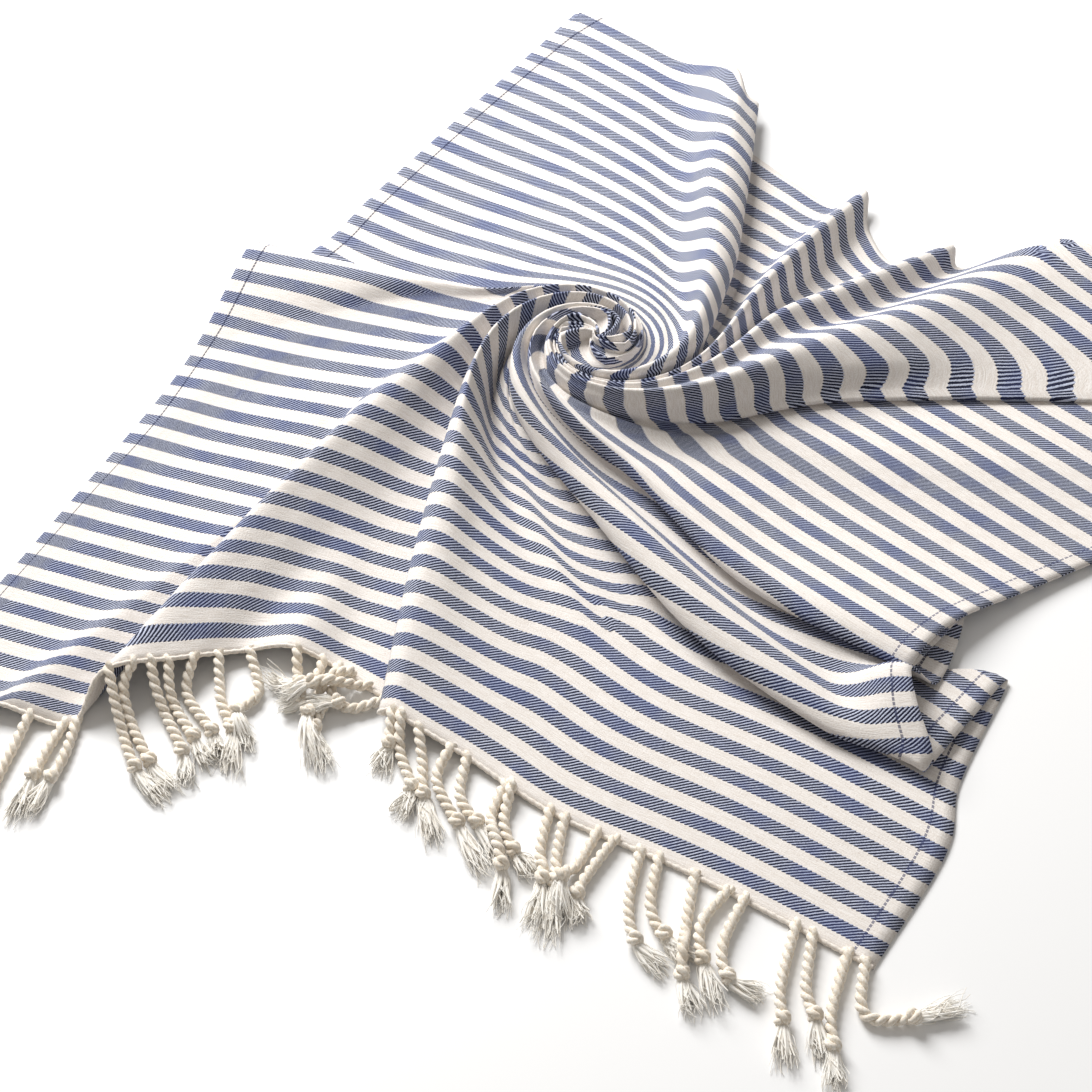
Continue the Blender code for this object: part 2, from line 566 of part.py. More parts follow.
# ---------------------------------------------------------------- objects and materials
def finish(name, bm, colour):
    bmesh.ops.triangulate(bm, faces=bm.faces)
    mesh = bpy.data.meshes.new(name)
    bm.to_mesh(mesh)
    bm.free()
    mesh.shade_smooth()
    material = bpy.data.materials.new(name)
    material.use_nodes = True
    shader = material.node_tree.nodes["Principled BSDF"]
    shader.inputs["Base Color"].default_value = colour
    shader.inputs["Roughness"].default_value = CLOTH_ROUGHNESS
    shader.inputs["Metallic"].default_value = 0.0
    material.diffuse_color = colour
    mesh.materials.append(material)
    thing = bpy.data.objects.new(name, mesh)
    bpy.context.scene.collection.objects.link(thing)
    return thing


def main():
    for thing in list(bpy.data.objects):
        bpy.data.objects.remove(thing, do_unlink=True)
    rows = spread_rows(key_rows())
    make_cloth(rows)
    for run in RUNS:
        make_fringe(run, rows)


main()
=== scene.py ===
"""Looks of the flat-woven beach towel: striped cloth twisted into a swirl, with a corded fringe.

The cloth is laid through its solid's fold lines, with more rows and stations and some finer
creases. Its flat coordinates (across and along the cloth, in metres) are its UV map, so
stripes, weave and hem stitching follow the folds.
"""

import math
import random
from collections import namedtuple
from functools import partial

import bmesh
import bpy
import numpy as np
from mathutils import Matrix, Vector


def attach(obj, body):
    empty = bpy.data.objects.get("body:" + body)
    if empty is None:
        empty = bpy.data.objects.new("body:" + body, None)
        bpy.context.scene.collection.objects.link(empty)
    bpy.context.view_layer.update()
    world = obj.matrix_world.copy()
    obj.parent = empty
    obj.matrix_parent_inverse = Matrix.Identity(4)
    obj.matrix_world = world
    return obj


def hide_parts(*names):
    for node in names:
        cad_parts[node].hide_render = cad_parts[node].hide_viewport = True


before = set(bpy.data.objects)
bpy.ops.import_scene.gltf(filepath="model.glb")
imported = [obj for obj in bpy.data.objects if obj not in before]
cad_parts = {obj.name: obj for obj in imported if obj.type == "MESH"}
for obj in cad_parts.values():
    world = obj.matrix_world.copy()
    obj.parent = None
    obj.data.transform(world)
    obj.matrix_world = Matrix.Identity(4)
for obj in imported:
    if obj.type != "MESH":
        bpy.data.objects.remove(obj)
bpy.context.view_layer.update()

MM = 0.001

# ---------------------------------------------------------------- sizes of the cloth, mm
CLOTH_WIDTH = 870.0
CLOTH_LENGTH = 920.0
CLOTH_THICKNESS = 1.3
PINCH_ACROSS = 390.0         # where the cloth was pinched, from its left side hem
PINCH_ALONG = 490.0          # and from its fringed hem

HEART_RADIUS = 25.0          # innermost height column of the fold table
SWIRL_RADIUS = 60.0          # edge of the tight swirl
RING_RADIUS = 120.0          # where the folds leave the swirl
TOTAL_WIND_DEG = 217.0       # how far every fold winds between the ring and the heart
HEART_WIND_DEG = 40.0        # further winding inside the heart
CORE_RADII = (4, 8, 13, 19, 25, 26.5, 28, 30, 32, 34.5, 37, 40, 43, 46.5, 50, 54, 58, 63, 68,
              74, 80, 87, 95, 103, 111, 120)
OUTER_COUNT = 40
ROW_STEP = 6.0               # widest distance between rows at the cloth's edge

LIP_BACK = 9.0               # a lap's top lies this far back from its nose
LIP_BACK_RING = 4.0          # the same at the ring
LIP_GAP = 3.0                # the lower layer starts this far in front of the nose
LIP_TIGHT = 0.035            # the same in the swirl, as a share of the radius
LIP_TURN = 2.8               # most height of the hidden turn over the lower layer
LIP_UNDER = 6.0              # least height of the underside, but no more than UNDER_LIMIT
NOSE_SHARE = 0.62            # height of the nose between the lower layer and the top
UNDER_SHARE = 0.28           # the same for the underside
UNDER_LIMIT = 0.5
TURN_SHARE = 0.12            # the same for the hidden turn
UNDER_REACH = 0.55           # the underside's way from the nose to the hidden turn
SWIRL_TURN = 0.66            # place of the hidden turn in the swirl, in gaps
SWIRL_UNDER = 0.33

SHEAR_SHARE = 0.5            # weight of the diagonal links between flat coordinates
WEAK_LINK = 0.02
STRONG_LINK = 50.0
THIN_CELL = 0.05             # least length that a weight is worked out from
LOOSE_HOLD = 0.00002
EDGE_HOLD = 100.0
EVEN_STEPS = 40              # solver steps in each round

# ---------------------------------------------------------------- fold lines, clockwise
Fold = namedtuple("Fold", "name ring_deg lean mid_x mid_y rim_x rim_y "
                          "z_heart z_swirl z_ring z_mid z_rim")
FOLDS = (
    Fold("ridge",      -139, 50, -101, -232,  -90, -432, 43, 43, 33, 28, 25),
    Fold("ridge_foot", -146, 46, -106, -238,  -92, -464, 41, 30, 25,  8,  2),
    Fold("a_crease",   -149, 44, -113, -242, -137, -483, 40, 29, 23,  8, 10),
    Fold("a_front",    -153, 42, -125, -245, -150, -489, 40, 29, 22,  7,  3),
    Fold("a_corner",   -161, 36, -188, -240, -200, -508, 40, 29, 21,  3,  1),
    Fold("a_side",     -168, 30, -210, -170, -228, -314, 40, 30, 22,  6,  1),
    Fold("a_top",      -174, 22, -208,  -95, -252, -165, 40, 31, 24, 13,  4),
    Fold("a_lip",      -180, 15, -192,  -19, -287,  -40, 41, 32, 29, 27, 20),
    Fold("i_start",     166, 15, -185,   45, -258,   60, 38, 22, 12,  2,  1),
    Fold("i_corner",    124, 18, -172,  232, -265,  370, 38, 24, 14,  3,  1),
    Fold("i_back",      107, 24, -120,  240, -200,  363, 38, 24, 15,  4,  2),
    Fold("i_valley",     93, 30,  -72,  235, -152,  357, 38, 26, 12,  5,  4),
    Fold("i_crest",      80, 38,  -36,  215,  -96,  349, 42, 40, 36, 29, 24),
    Fold("i_lip",        69, 45,    2,  205,  -62,  330, 42, 38, 32, 27, 20),
    Fold("j_back",       66, 48,   26,  200,   10,  272, 38, 26,  8,  2,  1),
    Fold("h1_left",      62, 50,   44,  190,   50,  266, 38, 27, 12,  3,  1),
    Fold("h1_crest",     56, 50,   63,  192,   66,  283, 42, 36, 30, 25, 14),
    Fold("h1_right",     51, 50,   80,  180,   84,  258, 38, 30, 14,  3,  1),
    Fold("h2_left",      48, 50,   98,  170,  122,  233, 38, 31, 18,  4,  1),
    Fold("h2_crest",     42, 54,  116,  162,  155,  262, 42, 40, 34, 29, 16),
    Fold("h2_low",       35, 58,  134,  152,  165,  252, 40, 37, 27, 16,  6),
    Fold("g_crest",      22, 60,  172,  168,  222,  312, 43, 43, 37, 32, 20),
    Fold("g_face",       16, 60,  202,  140,  310,  316, 42, 39, 30, 23, 15),
    Fold("g_lip",       7.5, 59,  219,  110,  440,  256, 42, 36, 14, 11,  8),
    Fold("f_corner",     -4, 54,  256,   66,  474,  204, 38, 30,  9,  7,  4),
    Fold("f_valley",    -19, 48,  224,  -18,  362,  -10, 38, 30, 12,  5,  7),
    Fold("f_rise",      -37, 40,  212,  -92,  336,  -75, 40, 38, 22, 15, 17),
    Fold("f_lip",       -46, 38,  205, -124,  332, -126, 42, 41, 27, 21, 20),
    Fold("e_valley",    -53, 46,  214, -137,  348, -160, 38, 34, 13,  9,  3),
    Fold("e_crest",     -61, 54,  221, -155,  372, -180, 42, 41, 29, 19,  3),
    Fold("e_lip",       -69, 60,  214, -181,  390, -200, 42, 40, 27, 19, 10),
    Fold("d_side",      -75, 60,  228, -205,  416, -220, 38, 24,  7,  2,  1),
    Fold("d_corner",    -79, 60,  212, -232,  422, -326, 38, 22,  6,  2,  1),
    Fold("d_hem",       -83, 60,  158, -228,  300, -332, 38, 20,  7,  4,  1),
    Fold("v_valley",    -90, 60,   84, -206,  200, -344, 36, 12,  4,  7,  2),
    Fold("c_slope",     -98, 60,   48, -212,  134, -341, 40, 28, 20, 15,  5),
    Fold("c_crest",    -107, 60,   24, -216,   88, -343, 43, 43, 36, 26, 11),
    Fold("c_lip",    -112.5, 60,    6, -226,   68, -347, 43, 42, 34, 26, 13),
    Fold("b_valley", -118.5, 58,  -25, -226,   20, -329, 38, 28, 10,  2,  1),
    Fold("b_bump",     -123, 56,  -40, -228,  -11, -340, 39, 31, 14,  5, 14),
    Fold("b_dip",      -128, 54,  -58, -228,  -38, -357, 40, 36, 21, 11,  7),
    Fold("b_slope",    -133, 52,  -80, -230,  -62, -392, 42, 40, 29, 21, 18),
)
CORNERS = ("a_corner", "i_corner", "f_corner", "d_corner")

Lap = namedtuple("Lap", "ring_tuck mid_tuck turn_x turn_y low_x low_y "
                        "low_swirl low_ring low_mid low_rim")
LAPS = {
    "a_lip": Lap(8, 12, -268,  -75, -254,    4, 22, 10, 1, 1),
    "i_lip": Lap(8, 14,  -85,  292,  -38,  284, 24,  6, 1, 1),
    "g_lip": Lap(8,  8,  437,  259,  443,  250, 24,  5, 5, 7),
    "f_lip": Lap(7, 12,  338,  -60,  350, -120, 30, 11, 8, 9),
    "e_lip": Lap(7, 14,  385,  -85,  400, -180, 22,  6, 1, 1),
    "c_lip": Lap(8, 14,   96, -330,   50, -331, 26,  8, 1, 1),
}
LAP_ROWS = ("top", "nose", "under", "turn", "low")

HEART_TOP = 43.0             # the coils' tops at the heart
HEART_RELIEF = 2.4           # how much deeper the valleys between them are drawn
HEART_GAP = 6.0              # how much lower a lap's lower layer starts there
# Where the side hem is turned back and up: how far each row's end moves, mm.
UPTURNS = {
    "e_valley": (-12.0, 29.0, 25.0),
    "e_crest": (-22.0, 30.0, 22.0),
    "e_lip": (-12.0, 14.0, 3.0),
}
UPTURN_FROM = 1.76           # from here to the end of the row


# ---------------------------------------------------------------- curves
def smooth(low, high, value):
    f = min(max((value - low) / (high - low), 0.0), 1.0)
    return f * f * (3.0 - 2.0 * f)


def hermite(a, b, slope_a, slope_b, f):
    return ((2 * f ** 3 - 3 * f ** 2 + 1) * a + (f ** 3 - 2 * f ** 2 + f) * slope_a
            + (3 * f ** 2 - 2 * f ** 3) * b + (f ** 3 - f ** 2) * slope_b)


def gentle_slopes(xs, ys):
    """Slopes of a cubic through the points that never overshoots them."""
    runs = [b - a for a, b in zip(xs, xs[1:])]
    rises = [(b - a) / run for a, b, run in zip(ys, ys[1:], runs)]
    slopes = [rises[0]] + [0.0] * (len(xs) - 2) + [rises[-1]]
    for i in range(1, len(xs) - 1):
        if rises[i - 1] * rises[i] > 0.0:
            near, far = 2 * runs[i] + runs[i - 1], runs[i] + 2 * runs[i - 1]
            slopes[i] = (near + far) / (near / rises[i - 1] + far / rises[i])
    return slopes


def curve_value(xs, ys, x):
    slopes = gentle_slopes(xs, ys)
    i = max([j for j in range(len(xs) - 1) if xs[j] <= x], default=0)
    run = xs[i + 1] - xs[i]
    f = min(max((x - xs[i]) / run, 0.0), 1.0)
    return hermite(ys[i], ys[i + 1], run * slopes[i], run * slopes[i + 1], f)


def unit(vector):
    return vector / np.linalg.norm(vector)


def run_along(points):
    """Distance of each point from the first, along the line."""
    return np.concatenate([[0.0], np.linalg.norm(np.diff(points, axis=0), axis=1).cumsum()])


# ---------------------------------------------------------------- the folded sheet
FULL_TURNS = math.log(RING_RADIUS / HEART_RADIUS)


def wind(radius, lean):
    turns = math.log(RING_RADIUS / max(radius, HEART_RADIUS))
    tighten = (TOTAL_WIND_DEG - lean * FULL_TURNS) / FULL_TURNS ** 2
    within = math.log(HEART_RADIUS / min(radius, HEART_RADIUS))
    return -(lean * turns + tighten * turns * turns + HEART_WIND_DEG * within)


def on_spiral(radius, fold):
    angle = math.radians(fold.ring_deg + wind(radius, fold.lean))
    return np.array([radius * math.cos(angle), radius * math.sin(angle)])


def out_from_ring(fold, f):
    """Plan point on a fold line, from the ring (f = 0) to the cloth's edge (f = 1)."""
    angle = math.radians(fold.ring_deg)
    outward = np.array([math.cos(angle), math.sin(angle)])
    around = np.array([-math.sin(angle), math.cos(angle)])
    ring = RING_RADIUS * outward
    mid = np.array([fold.mid_x, fold.mid_y], float)
    rim = np.array([fold.rim_x, fold.rim_y], float)
    start = (outward + math.radians(fold.lean) * around) * np.linalg.norm(mid - ring)
    if f < 0.5:
        return hermite(ring, mid, start, (rim - ring) / 2, 2 * f)
    return hermite(mid, rim, (rim - ring) / 2, rim - mid, 2 * f - 1)


def stations():
    """Stations along a fold line: distance for heights, radius in the swirl, place."""
    result = []
    for radius in CORE_RADII:
        along = 1.0 - math.log(RING_RADIUS / radius) / FULL_TURNS
        result.append((along, radius, lambda fold, r=radius: on_spiral(r, fold)))
    for i in range(1, OUTER_COUNT + 1):
        step = i / OUTER_COUNT
        result.append((1.0 + step, None, lambda fold, f=step: out_from_ring(fold, f)))
    return result


STATIONS = stations()
CORNER_SHARP = np.array([smooth(1.35, 1.95, along) for along, _radius, _place in STATIONS])
SWIRL_ALONG = 1.0 - math.log(RING_RADIUS / SWIRL_RADIUS) / FULL_TURNS


def height_at(along, heights):
    return curve_value((0.0, SWIRL_ALONG, 1.0, 1.5, 2.0), heights, max(along, 0.0))


def heart_height(height):
    """The heights at the heart, with the valleys between the coils drawn deeper."""
    return HEART_TOP - (HEART_TOP - height) * HEART_RELIEF


def fold_row(fold):
    heights = (heart_height(fold.z_heart), fold.z_swirl, fold.z_ring, fold.z_mid, fold.z_rim)
    row = np.array([(*place(fold), height_at(along, heights)) for along, _radius, place in STATIONS])
    turned = np.array([[smooth(UPTURN_FROM, 2.0, along)] for along, _radius, _place in STATIONS])
    return row + turned * UPTURNS.get(fold.name, (0.0, 0.0, 0.0))


def lap_rows(fold, lap):
    """The five rows of a fold that laps over its neighbour: top, nose, under, turn, low."""
    line = fold_row(fold)
    low_heights = (heart_height(fold.z_heart) - HEART_GAP, lap.low_swirl, lap.low_ring, lap.low_mid,
                   lap.low_rim)
    turn_end = np.array([lap.turn_x, lap.turn_y], float)
    low_end = np.array([lap.low_x, lap.low_y], float)
    rows = {name: [] for name in LAP_ROWS}
    for k, (along, radius, _place) in enumerate(STATIONS):
        nose, top = line[k][:2], line[k][2]
        lapping = 1.0 if radius is None else smooth(SWIRL_RADIUS, RING_RADIUS, radius)
        ahead = line[min(k + 1, len(line) - 1)][:2] - line[max(k - 1, 0)][:2]
        around = unit(np.array([-nose[1], nose[0]]))
        back = unit(around + lapping * (unit(np.array([-ahead[1], ahead[0]])) - around))
        low = height_at(along, low_heights)
        drop = top - low
        tight = LIP_TIGHT * np.hypot(*nose)
        tuck = lap.ring_tuck + (lap.mid_tuck - lap.ring_tuck) * smooth(1.0, 1.5, along)
        gap = tight + (LIP_GAP - tight) * lapping
        ease = smooth(1.5, 2.0, along)
        turn = nose + back * (tuck * lapping - gap * SWIRL_TURN * (1 - lapping))
        under = nose + back * (UNDER_REACH * tuck * lapping - gap * SWIRL_UNDER * (1 - lapping))
        low_xy = nose - back * gap
        turn = turn + ease * (turn_end - (line[-1][:2] + back * tuck))
        under = under + ease * ((turn_end + line[-1][:2]) / 2 - line[-1][:2]
                                - UNDER_REACH * tuck * back)
        low_xy = low_xy + ease * (low_end - (line[-1][:2] - back * gap))
        behind = tight + lapping * (LIP_BACK_RING + (LIP_BACK - LIP_BACK_RING)
                                    * smooth(1.0, 1.5, along) - tight)
        rows["top"].append((*(nose + back * behind), top))
        rows["nose"].append((*nose, low + drop * NOSE_SHARE))
        under_rise = max(drop * UNDER_SHARE, min(LIP_UNDER, drop * UNDER_LIMIT))
        rows["under"].append((*under, low + under_rise))
        rows["turn"].append((*turn, low + min(LIP_TURN, drop * TURN_SHARE)))
        rows["low"].append((*low_xy, low))
    return [(f"{fold.name}_{name}", np.array(rows[name])) for name in LAP_ROWS]


def key_rows():
    rows = []
    for fold in FOLDS:
        rows += lap_rows(fold, LAPS[fold.name]) if fold.name in LAPS else [(fold.name, fold_row(fold))]
    return rows


# ---------------------------------------------------------------- the flat cloth
# Between two hidden turns the cloth is laid out flat by itself: from one turn, clockwise, to
# the next, about the pinch point, and evened out in so many rounds.
Panel = namedtuple("Panel", "first last rounds")
PANELS = (
    Panel("c_lip_turn", "ridge_foot", 32),
    Panel("ridge_foot", "a_lip_turn", 32),
    Panel("a_lip_turn", "i_lip_turn", 32),
    Panel("i_lip_turn", "f_lip_turn", 32),
    Panel("f_lip_turn", "e_lip_turn", 8),
    Panel("e_lip_turn", "c_lip_turn", 50),
)
# Guides for the stripes, by the place in plan (x, y). On the open left part they run straight:
# along = LEFT_GUIDE . (1, x, y). The inner rows follow it only between two places in y.
LEFT_GUIDE = (471.6, -0.269, 1.011)
LEFT_ROWS = ("a_front", "a_corner", "a_side", "a_top")
LEFT_INNER_ROWS = ("ridge_foot", "a_crease")
LEFT_INNER_Y = (-340.0, -250.0)
LEFT_FROM = 0.75             # from just inside the ring
# Between the large roll and the next lap they run straight as well: BACK_GUIDE . (1, x, y).
# The pairs say from where to where along a row its guide sets in.
BACK_GUIDE = (640.0, 0.13, 0.99)
BACK_ROWS = {"g_lip_low": (1.0, 1.3), "f_corner": (1.0, 1.3), "f_valley": (1.0, 1.3)}
# On the open right front they run beside the fringed hem and close up a little to the right.
RIGHT_ROWS = {"e_lip_low": (1.25, 1.6), "d_side": (1.2, 1.55), "d_corner": (1.25, 1.65),
              "d_hem": (1.45, 1.95)}
RIGHT_DEPTH = 0.97
RIGHT_CLOSE = 0.0003
RIGHT_MIDDLE = 200.0
GUIDE_HOLD = 3.0
GUIDE_FADE = np.full(7, 1 / 7)    # a guide is eased off over a few rows


# On the large roll the back end isn't cut along a stripe.
FREE_END_ROWS = ("g_crest", "g_face") + tuple("g_lip_" + row for row in LAP_ROWS)


def edge_corners(names):
    return [names.index(name) for name in CORNERS]


def flat_rim(names, points):
    """Flat coordinates of each key row's end, spread along the four sides by true length."""
    count = len(names)
    steps = np.linalg.norm(points[(np.arange(count) + 1) % count, -1] - points[:, -1], axis=1)
    sides = (((0.0, 0.0), (0.0, CLOTH_LENGTH)), ((0.0, CLOTH_LENGTH), (CLOTH_WIDTH, CLOTH_LENGTH)),
             ((CLOTH_WIDTH, CLOTH_LENGTH), (CLOTH_WIDTH, 0.0)), ((CLOTH_WIDTH, 0.0), (0.0, 0.0)))
    corners = edge_corners(names)
    flat = np.zeros((count, 2))
    for n, (start, end) in enumerate(sides):
        first, last = corners[n], corners[(n + 1) % 4]
        span = (last - first) % count
        walk = [(first + k) % count for k in range(span + 1)]
        reach = np.concatenate(([0.0], np.cumsum([steps[i] for i in walk[:-1]])))
        for i, s in zip(walk, reach):
            f = s / reach[-1]
            flat[i] = np.array(start) + f * (np.array(end) - np.array(start))
    return flat


def flat_row(row, rim, pinch):
    """Flat coordinates along one row: a ray from the pinch to the edge."""
    steps = np.linalg.norm(np.diff(row, axis=0), axis=1)
    reach = np.concatenate(([HEART_RADIUS * 0.2], steps)).cumsum()
    return pinch + (reach / reach[-1])[:, None] * (rim - pinch)


# ---------------------------------------------------------------- rows between the key rows
def spread(names, points):
    """All rows, on smooth curves through the key rows, and the number of each key row."""
    count = len(names)
    ends = points[:, -1]
    gaps = np.linalg.norm(ends[(np.arange(count) + 1) % count] - ends, axis=1)
    mids = points[:, -OUTER_COUNT // 2]
    middle_gaps = np.linalg.norm(mids[(np.arange(count) + 1) % count] - mids, axis=1)
    pieces = [max(int(math.ceil(max(g, m) / ROW_STEP)), 2) for g, m in zip(gaps, middle_gaps)]
    corners = set(edge_corners(names))
    rows, starts = [], []
    for i in range(count):
        a, b, c, d = ((i + k) % count for k in (-1, 0, 1, 2))
        before = np.linalg.norm(points[b] - points[a], axis=1) ** 0.5 + 1e-6
        here = np.linalg.norm(points[c] - points[b], axis=1) ** 0.5 + 1e-6
        after = np.linalg.norm(points[d] - points[c], axis=1) ** 0.5 + 1e-6
        chord = points[c] - points[b]
        start = ((points[b] - points[a]) / before[:, None]
                 - (points[c] - points[a]) / (before + here)[:, None]
                 + chord / here[:, None]) * here[:, None]
        end = (chord / here[:, None] - (points[d] - points[b]) / (here + after)[:, None]
               + (points[d] - points[c]) / after[:, None]) * here[:, None]
        if b in corners:
            start += CORNER_SHARP[:, None] * (chord - start)
        if c in corners:
            end += CORNER_SHARP[:, None] * (chord - end)
        starts.append(len(rows))
        rows += [hermite(points[b], points[c], start, end, n / pieces[i]) for n in range(pieces[i])]
    return np.array(rows), starts


# ---------------------------------------------------------------- flat coordinates, evened out
def grid_links(rows):
    """Neighbouring points of a panel: (row step, station step, true length, weight)."""
    links = []
    for step, jump in ((0, 1), (1, 0), (1, 1), (1, -1)):
        low, high = link_ends(step, jump)
        links.append((step, jump, np.linalg.norm(rows[high] - rows[low], axis=2)))
    along, across = links[0][2], links[1][2]
    wide = np.concatenate([across[:1], (across[1:] + across[:-1]) / 2, across[-1:]])
    wide = np.maximum((wide[:, 1:] + wide[:, :-1]) / 2, THIN_CELL)
    deep = np.concatenate([along[:, :1], (along[:, 1:] + along[:, :-1]) / 2, along[:, -1:]], axis=1)
    cell = ((wide * along)[1:] + (wide * along)[:-1]) / 2
    weights = (wide / np.maximum(along, THIN_CELL), deep[1:] / np.maximum(across, THIN_CELL),
               SHEAR_SHARE * cell / np.maximum(links[2][2], THIN_CELL) ** 2,
               SHEAR_SHARE * cell / np.maximum(links[3][2], THIN_CELL) ** 2)
    return [(step, jump, length, np.clip(weight, WEAK_LINK, STRONG_LINK)[:, :, None])
            for (step, jump, length), weight in zip(links, weights)]


def link_ends(step, jump):
    """Slices that pick the two ends of every link of one kind."""
    first = (slice(None, -1), slice(1, None)) if step else (slice(None), slice(None))
    second = {0: (slice(None), slice(None)), 1: (slice(None, -1), slice(1, None)),
              -1: (slice(1, None), slice(None, -1))}[jump]
    return (first[0], second[0]), (first[1], second[1])


def pull(links, flat, reach=None):
    """What every link asks of its two ends, added up."""
    total = np.zeros_like(flat)
    for n, (step, jump, _length, weight) in enumerate(links):
        low, high = link_ends(step, jump)
        push = weight * (flat[high] - flat[low] if reach is None else reach[n])
        total[low] -= push
        total[high] += push
    return total


def straight(guide, rows):
    return guide[0] + guide[1] * rows[:, :, 0] + guide[2] * rows[:, :, 1]


def left_guide(rows, names):
    """Where the stripes run straight on the left part, and how firmly they are held there."""
    behind = (rows[:, :, 1] - LEFT_INNER_Y[0]) / (LEFT_INNER_Y[1] - LEFT_INNER_Y[0])
    full = np.array([name in LEFT_ROWS for name in names], float)[:, None]
    inner = np.array([name in LEFT_INNER_ROWS for name in names], float)[:, None]
    beyond = np.array([float(along > LEFT_FROM) for along, _radius, _place in STATIONS])
    return straight(LEFT_GUIDE, rows), (full + inner * np.clip(behind, 0, 1) ** 2) * beyond


def guide_share(names, guided):
    """How firmly a guide holds each point of the rows that it names."""
    return np.array([[smooth(*guided[name], along) if name in guided else 0.0
                      for along, _radius, _place in STATIONS] for name in names])


def back_guide(rows, names):
    """The same between the large roll and the next lap."""
    return straight(BACK_GUIDE, rows), guide_share(names, BACK_ROWS)


def right_guide(rows, names, sides):
    """The same on the open right front, beside the fringed hem."""
    share = guide_share(names, RIGHT_ROWS)
    hem = rows[sides == 3, -1][::-1]
    if not len(hem):
        return np.zeros(share.shape), 0.0 * share
    across, up = rows[:, :, 0], rows[:, :, 1]
    level = np.interp(across, hem[:, 0], hem[:, 1])
    return (up - level) / (RIGHT_DEPTH - RIGHT_CLOSE * (across - RIGHT_MIDDLE)), share


def even_out(rows, flat, sides, names, rounds):
    """Let the flat coordinates slide until the cloth is as little stretched as it can be."""
    links = grid_links(rows)
    hold = np.full(flat.shape, LOOSE_HOLD)
    goal = flat.copy()
    for side, axis in enumerate((0, 1, 0, 1)):
        hold[sides == side, -1, axis] = EDGE_HOLD
    hold[[name in FREE_END_ROWS for name in names], -1, 1] = LOOSE_HOLD
    guides = (left_guide(rows, names), right_guide(rows, names, sides), back_guide(rows, names))
    for wanted, share in guides:
        share = np.apply_along_axis(np.convolve, 0, share, GUIDE_FADE, mode="same")
        held = share > 0.0
        goal[held, 1] = wanted[held]
        hold[held, 1] = GUIDE_HOLD * share[held] ** 2
        guided = np.flatnonzero(held.any(axis=1))
        if not len(guided):
            continue
        marks = np.concatenate([[-1], guided, [len(rows)]])
        for k in range(rows.shape[1]):
            move = share[guided, k] * (wanted[guided, k] - flat[guided, k, 1])
            moves = np.concatenate([[0.0], move, [0.0]])
            flat[:, k, 1] += np.interp(np.arange(len(rows)), marks, moves)
    for _round in range(rounds):
        reach = []
        for step, jump, length, _weight in links:
            low, high = link_ends(step, jump)
            gap = flat[high] - flat[low]
            reach.append(gap * (length / np.maximum(np.linalg.norm(gap, axis=2), 1e-6))[:, :, None])
        rest = pull(links, flat, reach) + hold * goal - pull(links, flat) - hold * flat
        way = rest.copy()
        was = (rest * rest).sum()
        for _step in range(EVEN_STEPS):
            turned = pull(links, way) + hold * way
            share = was / (way * turned).sum()
            flat = flat + share * way
            rest = rest - share * turned
            now = (rest * rest).sum()
            way = rest + now / was * way
            was = now
    return flat


def flat_panel(panel, names, points, rim, rows, starts):
    """Rows of one panel and their evened flat coordinates."""
    count = len(names)
    first, last = names.index(panel.first), names.index(panel.last)
    walk = [(first + k) % count for k in range((last - first) % count + 1)]
    pinch = np.array([PINCH_ACROSS, PINCH_ALONG])
    corners = edge_corners(names)
    side = (sum(1 for corner in corners if corner <= first) - 1) % 4
    places, flats, sides, keys = [], [], [], []
    for i, j in zip(walk, walk[1:]):
        if i in corners:
            side = corners.index(i)
        ends = [flat_row(points[k], rim[k], pinch) for k in (i, j)]
        pieces = (starts[j] - starts[i]) % len(rows)
        for n in range(pieces + (j == last)):
            places.append((starts[i] + n) % len(rows))
            flats.append(ends[0] + n / pieces * (ends[1] - ends[0]))
            sides.append(side)
            keys.append(names[i])
    return places, even_out(rows[places], np.array(flats), np.array(sides), keys, panel.rounds)


